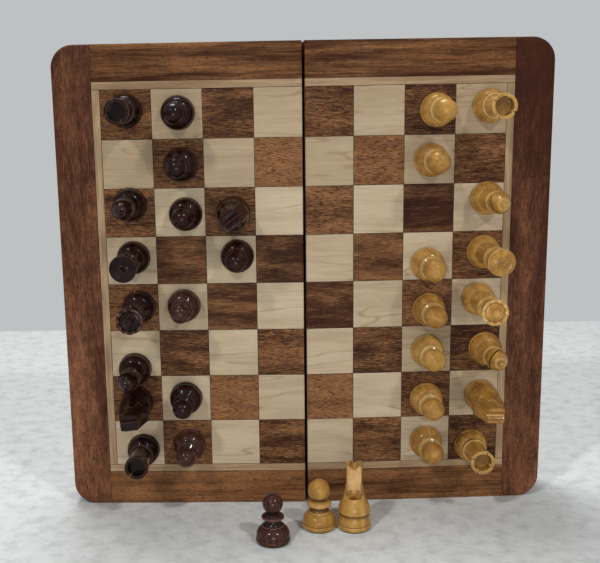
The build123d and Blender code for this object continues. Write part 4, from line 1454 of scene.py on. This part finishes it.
@dataclass
class Rook(Chessman):
    """A stout barrel on a ring, with a hollow top and four narrow notches."""

    height: float = 27.6
    ring: float = 6.3
    ring_low: float = 9.8
    barrel: float = 5.4
    waist: float = 5.1
    rim: float = 6.1
    rim_step: float = 0.5
    bore: float = 4.7
    bore_depth: float = 4.6
    battlement: float = 2.4
    notch: float = 1.1

    def painted_shade(self, points: Array) -> Array:
        """Painted shade in the grooves and inside the hollow top, darkest at its floor."""
        depth = (self.height - points[:, 2]) / self.bore_depth
        inside = np.hypot(points[:, 0], points[:, 1]) < self.bore + 0.05
        hollow = np.where(inside & (depth > 0.02) & (depth < 1.02), 0.15 + 0.35 * depth, 0)
        return np.maximum(self.grooves(points), hollow)

    def outline(self) -> list[Step]:
        """Foot, ring, barrel, turret and the hollow in its top."""
        ring_top = self.ring_low + self.base.ring
        wall_low = self.height - self.battlement - self.rim_step
        floor = self.height - self.bore_depth
        hollow = (self.waist, (ring_top + wall_low) / 2)
        return (
            self.base.stem(self.barrel, self.ring_low)
            + self.base.half_ring(self.barrel + 0.1, self.ring, self.ring_low)
            + [
                (self.barrel, ring_top), (hollow, (self.rim - self.rim_step, wall_low)),
                (self.rim, wall_low + self.rim_step), (self.rim, self.height),
                (self.bore, self.height), (self.bore - 0.3, floor), (0.0, floor),
            ]
        )

    def cutters(self) -> list[tuple[Array, list]]:
        """Two bars across the top, at right angles."""
        half, reach = self.notch / 2, self.rim + 1
        low, high = self.height - self.battlement, self.height + 1
        bar = box_shell((-half, half), (-reach, reach), (low, high))
        return [bar, (bar[0] @ turn_about(2, 90).T, bar[1])]


@dataclass
class Bishop(Chessman):
    """A mitre with a stepped top, a ball on it and a slanting saw cut."""

    neck: float = 3.3
    collar_low: float = 17.2
    collar_radius: float = 5.5
    mitre_low: float = 20.6
    mitre_radius: float = 5.4
    mitre_top: float = 32.0
    step: float = 2.8
    finial: float = 1.6
    slit: float = 0.8
    slit_angle: float = 38.0

    @property
    def widest(self) -> float:
        """Height of the mitre's widest place."""
        return self.mitre_low + (self.mitre_top - self.mitre_low) * 0.36

    def outline(self) -> list[Step]:
        """Stem, collar, mitre and ball."""
        radius, widest, base = self.mitre_radius, self.widest, self.base
        step_low = self.mitre_top - self.finial / 2
        shoulder = (radius * 0.8, (widest + step_low) / 2 + 0.8)
        return (
            base.collared(self.neck, self.collar_radius, self.collar_low, 0.6)
            + [
                (self.neck - 0.2, self.mitre_low), ((radius - 0.2, widest - 1.8), (radius, widest)),
                (shoulder, (self.step, step_low)),
            ]
            + ball(self.finial, self.mitre_top + self.finial * 0.7, self.finial * 0.8)
        )

    def painted_shade(self, points: Array) -> Array:
        """Painted shade in the grooves and on the walls of the slit."""
        level = (points - [0, 0, self.widest]) @ turn_about(1, -self.slit_angle)
        walls = (np.abs(level[:, 2]) < self.slit / 2 + 0.02) & (level[:, 0] > -0.1)
        return np.maximum(self.grooves(points), walls)

    def cutters(self) -> list[tuple[Array, list]]:
        """A thin slab from the axis outwards, tilted up."""
        reach = 2 * self.mitre_radius
        corners, faces = box_shell((0, reach), (-reach, reach), (-self.slit / 2, self.slit / 2))
        tilted = corners @ turn_about(1, -self.slit_angle).T + [0, 0, self.widest]
        return [(tilted, faces)]


@dataclass
class Queen(Chessman):
    """A flared crown with a scalloped rim, a dome and a ball."""

    neck: float = 3.5
    collar_low: float = 21.4
    collar_radius: float = 6.0
    crown: float = 6.7
    crown_top: float = 34.6
    scallops: int = 10
    scallop: float = 1.0
    scallop_lift: float = 0.7
    scallop_reach: float = 1.7
    finial: float = 2.6
    finial_neck: float = 1.6

    def outline(self) -> list[Step]:
        """Stem, collar, crown, dome and ball."""
        rim, top, neck = self.crown, self.crown_top, self.neck
        collar_top = self.collar_low + self.base.collar_lift + self.base.collar
        flare = (neck + 0.25 * (rim - neck), collar_top + 0.62 * (top - collar_top))
        finial = ball(self.finial, top + self.finial, self.finial_neck)
        return (
            self.base.collared(neck, self.collar_radius, self.collar_low)
            + [
                (neck, collar_top), (flare, (rim, top)), (rim - 1.2, top + 0.2),
                (rim - 2.0, top - 0.7), ((rim * 0.45, top - 0.2), finial[0]),
            ]
            + finial[1:]
        )

    def cutters(self) -> list[tuple[Array, list]]:
        """Round bars laid outwards over the rim."""
        vertices, faces = cylinder(self.scallop, -self.scallop_reach, self.scallop_reach, 28)
        laid = vertices @ turn_about(1, 90).T + [self.crown, 0, self.crown_top + self.scallop_lift]
        return [
            (laid @ turn_about(2, 360 * number / self.scallops).T, faces)
            for number in range(self.scallops)
        ]


@dataclass
class King(Chessman):
    """A flared crown with a domed top and a knob, and a plain cross whose arms widen."""

    neck: float = 3.7
    collar_low: float = 23.0
    collar_radius: float = 6.2
    crown: float = 6.7
    crown_top: float = 35.6
    dome: float = 1.6
    knob: float = 2.4
    knob_neck: float = 1.5
    cross_height: float = 5.6
    cross_width: float = 5.4
    cross_arm: float = 2.4
    cross_thickness: float = 3.2

    @property
    def knob_top(self) -> float:
        """Height of the knob's top, which the cross stands on."""
        return self.crown_top + self.dome + self.base.ring

    def outline(self) -> list[Step]:
        """Stem, collar, crown, dome and knob."""
        rim, top, neck = self.crown, self.crown_top, self.neck
        collar_top = self.collar_low + self.base.collar_lift + self.base.collar
        flare = (neck + 0.25 * (rim - neck), collar_top + 0.6 * (top - 1 - collar_top))
        dome_top = top + self.dome
        return (
            self.base.collared(neck, self.collar_radius, self.collar_low)
            + [
                (neck, collar_top), (flare, (rim, top - 1)), (rim, top - 0.3), (rim - 0.6, top),
                ((rim * 0.5, top + self.dome * 0.6), (self.knob_neck - 0.2, dome_top - 0.1)),
            ]
            + self.base.half_ring(self.knob_neck, self.knob, dome_top)
            + [(0.0, self.knob_top)]
        )

    def painted_shade(self, points: Array) -> Array:
        """Painted shade in the grooves, and the top end of the cross darkened by half."""
        end = 0.5 * (points[:, 2] > self.knob_top + self.cross_height - 0.35)
        return np.clip(self.grooves(points) + end, 0, 1)

    def extras(self) -> list[tuple[Array, list]]:
        """The cross, its edges rounded."""
        arm, half = self.cross_arm / 2, self.cross_width / 2
        middle, waist = self.cross_height - half, self.cross_arm * 0.3
        right = [
            (arm, -1), (waist, middle - waist), (half, middle - arm), (half, middle + arm),
            (waist, middle + waist), (arm, self.cross_height),
        ]
        corners = np.array(right + [(-x, z) for x, z in reversed(right)], float)[::-1]
        loop = subdivided(eased(corners, 0.16, closed=True), 0.4)
        thickness = np.full(len(loop), self.cross_thickness / 2)
        vertices, faces = pillow(loop, (0.0, middle), thickness, 0.25, rings=6)
        return [(vertices + [0, 0, self.knob_top], faces)]


def subdivided(loop: Array, spacing: float) -> Array:
    """A closed line with points added so that none are further apart than the spacing."""
    rows = []
    for here, after in zip(loop, np.roll(loop, -1, 0)):
        count = max(1, math.ceil(float(np.linalg.norm(after - here)) / spacing))
        rows.append(here + (after - here) * (np.arange(count) / count)[:, None])
    return np.concatenate(rows)


@dataclass
class Knight(Chessman):
    """A turned bell-shaped bust and a flat horse's head that narrows to the face."""

    height: float = 35.0
    shoulder: float = 7.3
    skirt: float = 8.2
    skirt_low: float = 8.5
    skirt_lip: float = 0.7
    bust_waist: float = 6.6
    bust_waist_height: float = 14.4
    bust_neck: float = 4.5
    bust_top: float = 23.0
    thickness: float = 8.6
    face_width: float = 7.5
    nose: float = 8.9
    poll_front: float = 4.8
    poll_back: float = 3.5
    chin_height: float = 20.4
    throat: Point = (3.5, 17.0)
    ear_gap: float = 4.2
    ear_notch: float = 1.9
    nostril_height: float = 22.9
    cut: float = 0.8
    mane_cuts: int = 5
    mane_pitch: float = 2.7
    centre: Point = (0.6, 23.2)
    eye_back: float = 4.4
    eye_down: float = 5.8

    @property
    def chin(self) -> Point:
        """Tip of the chin in the side view."""
        return self.nose - 0.9, self.chin_height

    @property
    def under_jaw(self) -> Step:
        """The arc from throat to chin: its middle and its end."""
        return (self.throat[0] + 1.4, (self.throat[1] + self.chin[1]) / 2 + 0.6), self.chin

    def painted_shade(self, points: Array) -> Array:
        """Painted shade in the base's grooves and in the nostrils, mouth, eyes and mane cuts."""
        x, y, z = points.T
        low = np.where(z < self.skirt_low + 2 * self.skirt_lip, self.grooves(points), 0)
        apart = ((np.abs(y) - self.face_width / 4) / 0.55) ** 2
        spot = np.exp(-apart - ((z - self.nostril_height) / 0.5) ** 2) * (x > self.nose - 3)
        return np.clip(low + 1.8 * spot + 1.6 * self.marks(points), 0, 1)

    def marks(self, points: Array) -> Array:
        """Eyes, mouth and mane cuts as shares of their depth."""
        x, _, z = points.T
        top, nose = self.height, self.nose
        ahead, below = x - nose + self.eye_back, z - top + self.eye_down
        eye = np.exp(-((ahead / 0.75) ** 2 + (below / 0.6) ** 2))
        along = np.clip((x - nose + 4.0) / 1.6, 0, 1)
        line = (self.chin_height + self.nostril_height) / 2 + 0.1 * (nose - x)
        mouth = np.exp(-(((z - line) / 0.32) ** 2)) * along
        return 0.55 * eye + 0.5 * mouth + 0.42 * self.mane(points)

    def mane(self, points: Array) -> Array:
        """Slanting cuts at the back of the neck, as shares of their depth."""
        x, _, z = points.T
        pitch = self.mane_pitch
        phase = (self.height - 4.4 - z - 0.5 * (x + 3.0)) / pitch
        stripe = np.exp(-(((phase - np.round(phase)) * pitch / 0.34) ** 2))
        within = (phase > -0.4) & (phase < self.mane_cuts + 0.4)
        return stripe * within * np.clip((-x - 0.6 - 0.1 * (self.height - z)) / 0.8, 0, 1)

    def outline(self) -> list[Step]:
        """Base and bust."""
        skirt, low, lip = self.skirt, self.skirt_low, self.skirt_low + self.skirt_lip
        waist, height = self.bust_waist, self.bust_waist_height
        neck, high = self.bust_neck, self.bust_top
        round_part = (skirt - (skirt - waist) * 0.26, (lip + height) / 2)
        hollow_part = (neck + (waist - neck) * 0.38, (height + high) / 2 - 0.4)
        return self.base.outline(self.shoulder) + [
            (skirt - self.skirt_lip, low), (skirt, lip), (round_part, (waist, height)),
            (hollow_part, (neck, high)), (0.0, high),
        ]

    def throat_line(self) -> Array:
        """Points of the curve from throat to chin."""
        return trace([self.throat, self.under_jaw])

    def carve(self, points: Array) -> Array:
        """Presses the bust in under the chin, where its X ends just behind the head's."""
        line = self.throat_line()
        x, z = points[:, 0], points[:, 2]
        limit = np.interp(z, line[:, 1], line[:, 0]) - 0.15
        within = (z > self.throat[1]) & (z < self.chin_height)
        pressed = points.copy()
        pressed[:, 0] = np.where(within, np.minimum(x, limit), x)
        return pressed

    def profile(self) -> Array:
        """Side view of the head, clockwise from the front, nose towards +X."""
        nose, top, back, low = self.nose, self.height, -self.skirt, self.skirt_low + 1
        lip = (nose - 0.5, self.nostril_height + self.cut)
        ear, poll = (self.poll_front, top), (-self.poll_back, top - self.cut / 2)
        crest = (back + 1.5, self.bust_waist_height + 1)
        points = trace([
            (back + 2, low), (self.throat[0], low), self.throat, self.under_jaw,
            ((nose, (self.chin[1] + lip[1]) / 2), lip), ear, poll,
            ((poll[0] - 2.1, (poll[1] + crest[1]) / 2), crest),
        ])
        return subdivided(eased(points, 0.3, closed=True), 0.3)[::-1]

    def extras(self) -> list[tuple[Array, list]]:
        """The head, with eyes, nostrils, mouth, mane and the notch between the ears."""
        loop = self.profile()
        half_back, half_face = self.thickness / 2, self.face_width / 2
        reach = [-self.skirt - 1, -1, self.nose]
        thickness = np.interp(loop[:, 0], reach, [half_back * 0.75, half_back, half_face])
        vertices, faces = pillow(loop, self.centre, thickness, 0.55, rings=30)
        return [(self.carved(vertices), faces)]

    def carved(self, points: Array) -> Array:
        """Presses the details into the head.

        Each mark is a smooth dent, exp(-(distance / size)^2) deep, pushed across the piece on its
        sides and towards the middle of the head on its rim.
        """
        x, y, z = points.T
        top, nose, half = self.height, self.nose, self.thickness / 2
        width = np.interp(x, [-9, -1, nose], [half * 0.75, half, self.face_width / 2])
        side = np.abs(y) > 0.7 * width
        ahead, below = x - nose + self.eye_back, z - top + self.eye_down
        pupil = np.exp(-((ahead / 0.34) ** 2 + (below / 0.3) ** 2))
        cheek = np.exp(-(((x - 1.9) / 2.6) ** 2 + ((z - top + 9.8) / 3.2) ** 2))
        depth = self.marks(points) - 0.35 * pupil - 0.35 * cheek
        moved = points.copy()
        moved[:, 1] -= np.where(side, np.sign(y) * depth, 0)
        apart = self.face_width / 4
        spot = ((np.abs(y) - apart) / 0.42) ** 2 + ((z - self.nostril_height) / 0.4) ** 2
        front = (x > nose - 4.6) & (z > self.chin_height)
        behind = (x < 0.6) & (z < top - 3.0)
        inward = np.where(front, 0.6 * np.exp(-spot), 0)
        inward += np.where(behind, 0.42 * self.mane(points), 0)
        towards = np.array(self.centre) - np.stack([x, z], -1)
        towards /= np.linalg.norm(towards, axis=1)[:, None] + 1e-9
        moved[:, 0] += towards[:, 0] * inward
        moved[:, 2] += towards[:, 1] * inward
        ceiling = top - self.ear_notch * np.clip(1 - np.abs(y) / (self.ear_gap / 2), 0, 1)
        moved[:, 2] = np.minimum(moved[:, 2], ceiling)
        return moved


# Head and collar of each side's pawns. A chessman on the board has its kind, its column from the
# left and row from the top, how far right of and above the square's middle it stands, and its turn
# in degrees. One on the table has its kind, its place right of the fold and in front of the board,
# and its turn.
PAWNS = {"dark": {"head": 5.1, "collar_radius": 5.7}, "light": {"head": 5.7, "collar_radius": 6.3}}
ON_BOARD = {
    "dark_rook_1": (Rook, 1, 1, 0.0, 1.8, 20),
    "dark_pawn_1": (Pawn, 2, 1, 0.6, 0.5, 0),
    "dark_pawn_2": (Pawn, 2, 2, 1.2, -0.7, 0),
    "dark_bishop_1": (Bishop, 1, 3, 0.4, 4.5, 120),
    "dark_pawn_3": (Pawn, 2, 3, 3.0, -0.8, 0),
    "dark_knight_1": (Knight, 3, 3, 1.7, -0.7, 37),
    "dark_king": (King, 1, 4, 1.1, 1.9, 40),
    "dark_pawn_4": (Pawn, 3, 4, 3.2, 2.0, 0),
    "dark_queen": (Queen, 1, 5, 3.0, 0.7, 0),
    "dark_pawn_5": (Pawn, 2, 5, 0.6, 1.1, 0),
    "dark_bishop_2": (Bishop, 1, 6, -0.6, -8.0, 60),
    "dark_knight_2": (Knight, 1, 7, -0.4, -1.6, 5),
    "dark_pawn_6": (Pawn, 2, 7, 0.1, 0.6, 0),
    "dark_rook_2": (Rook, 1, 8, 2.0, -3.3, 50),
    "dark_pawn_7": (Pawn, 2, 8, 1.1, -0.8, 0),
    "light_pawn_1": (Pawn, 7, 1, 3.2, -0.2, 0),
    "light_rook_1": (Rook, 8, 1, 4.0, 1.3, -30),
    "light_pawn_2": (Pawn, 7, 2, 0.4, -0.3, 0),
    "light_bishop_1": (Bishop, 8, 3, 3.8, 4.6, -130),
    "light_king": (King, 8, 4, 2.7, 1.8, -28),
    "light_pawn_3": (Pawn, 7, 4, -0.5, -4.1, 0),
    "light_queen": (Queen, 8, 5, 0.6, 1.9, 0),
    "light_pawn_4": (Pawn, 7, 5, 0.6, -3.2, 0),
    "light_bishop_2": (Bishop, 8, 6, 4.9, 0.1, 160),
    "light_pawn_5": (Pawn, 7, 6, 0.2, -0.7, 0),
    "light_knight_1": (Knight, 8, 7, 3.3, -1.0, 178),
    "light_pawn_6": (Pawn, 7, 7, 0.0, -2.1, 0),
    "light_rook_2": (Rook, 8, 8, -1.3, -3.8, 65),
    "light_pawn_7": (Pawn, 7, 8, 0.2, -1.2, 0),
}
WORN_MEN = ("dark_pawn_5", "dark_pawn_7", "dark_pawn_8")
ON_TABLE = {
    "dark_pawn_8": (Pawn, -19.1, 44.8, 0),
    "light_pawn_8": (Pawn, 4.7, 29.9, 0),
    "light_knight_2": (Knight, 22.6, 30.7, -97),
}


@dataclass
class ChessSet:
    """All thirty-two chessmen, in place."""

    sizes: BoardSizes
    hinge_y: float
    random: np.random.Generator
    edge_start: float = 9.0
    edge_full: float = 30.0
    # Share of shade painted into inner creases.
    crease_shade: float = 0.8

    def board_place(self, column: int, row: int, right: float, up: float, turn: float) -> Place:
        """Where a chessman stands on the board, its axis along the half's outward normal."""
        sizes = self.sizes
        half = Half.LEFT if column <= sizes.columns else Half.RIGHT
        along = (column - sizes.columns - 0.5) * sizes.square_width + right
        along -= half.value * sizes.fold_trim
        height = sizes.squares_high - (row - 0.5) * sizes.square_height + up
        back = turn_about(2, half.value * math.degrees(FOLD_BACK))
        origin = back @ np.array([along, sizes.front, height]) + [0, self.hinge_y, 0]
        return Place(back @ turn_about(0, 90) @ turn_about(2, turn), origin)

    def table_place(self, right: float, forward: float, turn: float) -> Place:
        """Where a loose chessman stands on the table."""
        front = self.sizes.front * math.cos(FOLD_BACK) + self.hinge_y
        return Place(turn_about(2, turn), np.array([right, front - forward, 0]))

    def build(self, woods: dict[str, bpy.types.Material], felt: bpy.types.Material) -> None:
        """Builds and dresses every chessman with its felt."""
        places = {
            name: (kind, placed(*rest))
            for men, placed in ((ON_BOARD, self.board_place), (ON_TABLE, self.table_place))
            for name, (kind, *rest) in men.items()
        }
        for name, (kind, place) in places.items():
            side = name.split("_")[0]
            man = kind(**PAWNS[side]) if kind is Pawn else kind()
            slot = f"{side}_chessman_wood"
            made = self.turned(name, man, place)
            wood = woods[WORN_MEN_WOOD.name if name in WORN_MEN else slot]
            dress(made, wood, name, (name,))
            pad = man.felt().make(f"{name}_felt", place)
            dress(pad, felt, name)

    def turned(self, name: str, man: Chessman, place: Place) -> bpy.types.Object:
        """The wood of a chessman, sawn where it is, with its grain along its axis.

        Args:
            name: The chessman's name.
            man: Its shape.
            place: Where it stands.

        Returns:
            The piece, with how much shade and how much highlight is painted at each vertex.
        """
        made = man.draft().make(f"{name}_wood", place, None)
        cutters = [
            Draft().add(*shell).make(f"{name}_saw_{number}", place)
            for number, shell in enumerate(man.cutters())
        ]
        if cutters:
            cut(made, cutters)
        mesh = made.data
        shade_mesh(mesh, math.radians(52))
        own = place.own(mesh)
        shift = self.random.uniform(-300, 300, 3)
        write_attribute(mesh, "grain", (own[:, [2, 0, 1]] + shift) * MM)
        tone = float(self.random.uniform(-0.4, 0.3))
        write_attribute(mesh, "tone", np.full(len(own), tone))
        # Shade is painted into grooves and inner creases, highlights onto sharp outer edges.
        outer, inner = sharpness(mesh, self.edge_start, self.edge_full)
        painted_shade = man.painted_shade(own)
        write_attribute(mesh, "painted_shade", np.maximum(painted_shade, self.crease_shade * inner))
        write_attribute(mesh, "painted_highlight", outer * (1 - painted_shade))
        return made


# Metal pieces


@dataclass
class Hardware:
    """Hinges, screws, closure magnets and steel sheets: the solids themselves, refinished."""

    nodes: dict[str, bpy.types.Object]

    def polished(self, node: str, body: str, material: bpy.types.Material) -> None:
        """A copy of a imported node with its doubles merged, shaded smooth where it is round."""
        source = self.nodes[node]
        made = source.copy()
        made.data = source.data.copy()
        made.name = f"{node}_polished"
        for key in list(made.keys()):
            del made[key]
        made.parent = None
        bpy.context.scene.collection.objects.link(made)
        join = made.modifiers.new("join", "WELD")
        join.merge_threshold = 0.002 * MM
        finished(made, math.radians(30))
        dress(made, material, body, (node,))

    def build(self, brass: bpy.types.Material, nickel: bpy.types.Material,
              steel: bpy.types.Material) -> None:
        """Refinishes every metal piece."""
        for half in Half:
            for kind in ("hinge_leaves", "hinge_screws"):
                self.polished(half.node(kind), half.body, brass)
            self.polished(half.node("closure_magnets"), half.body, nickel)
            repaint(self.nodes[half.node("steel_sheet")], steel)
        self.polished("hinge_pins", Half.LEFT.body, brass)


# The studio


@dataclass
class Lamp:
    """A square lamp: its place, what it points at, its side in metres and its power in watts."""

    name: str
    place: tuple[float, float, float]
    target: tuple[float, float, float]
    side: float
    power: float
    colour: Colour = (1.0, 1.0, 1.0)

    def hang(self) -> None:
        """Makes the lamp."""
        light = bpy.data.lights.new(self.name, "AREA")
        light.size = self.side
        light.energy = self.power
        light.color = self.colour
        made = linked(self.name, light)
        made.visible_camera = False
        made.location = self.place
        towards = Vector(self.target) - Vector(self.place)
        made.rotation_euler = towards.to_track_quat("-Z", "Y").to_euler()


@dataclass
class Studio:
    """Pale table, pale backdrop, soft lamps and the camera, whose turn is in degrees."""

    camera_place: tuple[float, float, float] = (-0.0235, -0.4564, 0.2144)
    camera_turn: tuple[float, float, float] = (78.977, 0.997, -0.195)
    focal_length: float = 55.2
    sensor_width: float = 36.0
    lens_shift: Point = (0.067, -0.0008)
    table_reach: Point = (2.0, 1.6)
    table_end: float = 0.412
    table_colour: Colour = shade(220, 223, 222)
    backdrop: Colour = shade(190, 193, 194)
    world_colour: Colour = shade(235, 238, 240)
    world_strength: float = 0.13

    def table(self) -> bpy.types.Object:
        """The table top: a level sheet with a faint pebbled relief."""
        graph = Graph("table_top")
        pebbles, clouds = graph.even(4, 4, 0.6), graph.even(9, 4, 0.6)
        dark = tuple(0.78 * c for c in self.table_colour)
        colour = graph.blend(graph.ranged(clouds, 0.25, 0.6), dark, self.table_colour)
        material = graph.surface(Base_Color=colour, Roughness=0.6, Normal=graph.bump(pebbles, 0.5))
        (side, front), end = self.table_reach, self.table_end
        corners = [(-side, -front, 0), (side, -front, 0), (side, end, 0), (-side, end, 0)]
        return self.sheet("table", corners, material)

    def sheet(self, name: str, corners: list, material: bpy.types.Material) -> bpy.types.Object:
        """A flat sheet of the stage."""
        mesh = bpy.data.meshes.new(name)
        mesh.from_pydata(corners, [], [(0, 1, 2, 3)])
        mesh.materials.append(material)
        return linked(name, mesh)

    def light(self) -> None:
        """Hangs the lamps and lights the world."""
        lamps = [
            Lamp("left_lamp", (-0.9, -1.25, 1.55), (0, 0, 0.08), 0.15, 13.8),
            Lamp("right_lamp", (0.9, -1.25, 1.6), (0, 0, 0.08), 0.15, 12.8),
            Lamp("overhead_lamp", (-0.15, 0.35, 1.3), (0, 0.1, 0), 0.5, 11.0),
            Lamp("low_fill", (0, -0.75, 0.06), (0, 0, 0.06), 0.3, 1.6),
        ]
        for lamp in lamps:
            lamp.hang()
        world = bpy.data.worlds.new("studio_world")
        bpy.context.scene.world = world
        world.use_nodes = True
        tree = world.node_tree
        plain = tree.nodes["Background"]
        plain.inputs[0].default_value = (*self.world_colour, 1.0)
        plain.inputs[1].default_value = self.world_strength
        seen = tree.nodes.new("ShaderNodeBackground")
        seen.inputs[0].default_value = (*self.backdrop, 1.0)
        path = tree.nodes.new("ShaderNodeLightPath")
        shows = path.outputs["Is Camera Ray"]
        for ray in ("Is Glossy Ray", "Is Transmission Ray"):
            either = tree.nodes.new("ShaderNodeMath")
            either.operation = "MAXIMUM"
            tree.links.new(shows, either.inputs[0])
            tree.links.new(path.outputs[ray], either.inputs[1])
            shows = either.outputs[0]
        mixed = tree.nodes.new("ShaderNodeMixShader")
        tree.links.new(shows, mixed.inputs[0])
        tree.links.new(plain.outputs[0], mixed.inputs[1])
        tree.links.new(seen.outputs[0], mixed.inputs[2])
        tree.links.new(mixed.outputs[0], tree.nodes["World Output"].inputs[0])

    def camera(self) -> None:
        """Sets up the camera in front of the box, a little to the left and above."""
        lens = bpy.data.cameras.new("camera")
        lens.sensor_width = self.sensor_width
        lens.lens = self.focal_length
        lens.shift_x, lens.shift_y = self.lens_shift
        lens.clip_start = 0.01
        made = linked("camera", lens)
        made.location = self.camera_place
        made.rotation_euler = Euler([math.radians(angle) for angle in self.camera_turn])
        bpy.context.scene.camera = made

    def build(self) -> None:
        """Builds the stage."""
        self.camera()
        self.light()
        self.table()


def main(frame: dict) -> None:
    """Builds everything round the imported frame.
    """
    bpy.context.scene.view_settings.view_transform = "Standard"
    sizes = BoardSizes()
    hinge = next(joint for joint in frame["joints"] if joint["name"] == "lid_hinge")
    hinge_y = hinge["pos_m"][1] / MM
    wood_finishes = (STILE_WOOD, RAIL_WOOD, PALE_WOOD, BROWN_WOOD, INLAY_WOOD, DARK_MEN_WOOD,
                     WORN_MEN_WOOD, LIGHT_MEN_WOOD, HIDDEN_RAIL_WOOD, PLYWOOD, GLUE)
    woods = {finish.name: finish.material() for finish in wood_finishes}
    velvet, felt = GREEN_VELVET.material(), GREEN_FELT.material()
    brass, nickel, steel = BRASS.material(), NICKEL.material(), STEEL.material()
    Studio().build()
    for half in Half:
        place = half_place(half, hinge_y)
        random = np.random.default_rng(7 + half.value)
        FrameMembers(sizes, half, place).build(woods["stile_wood"], woods["rail_wood"])
        PlayingSurface(sizes, half, place, random).build(woods)
        StorageTray(sizes, half, place, random).build(velvet)
        repaint(frame["nodes"][half.node("spine_rail")], woods["spine_rail_wood"])
        repaint(frame["nodes"][half.node("base_panel")], woods["panel_plywood"])
    Hardware(frame["nodes"]).build(brass, nickel, steel)
    ChessSet(sizes, hinge_y, np.random.default_rng(23)).build(woods, felt)


if __name__ == "__main__":
    logging.basicConfig(level=logging.INFO, format="%(name)s: %(message)s")
    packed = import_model()
    main(packed)
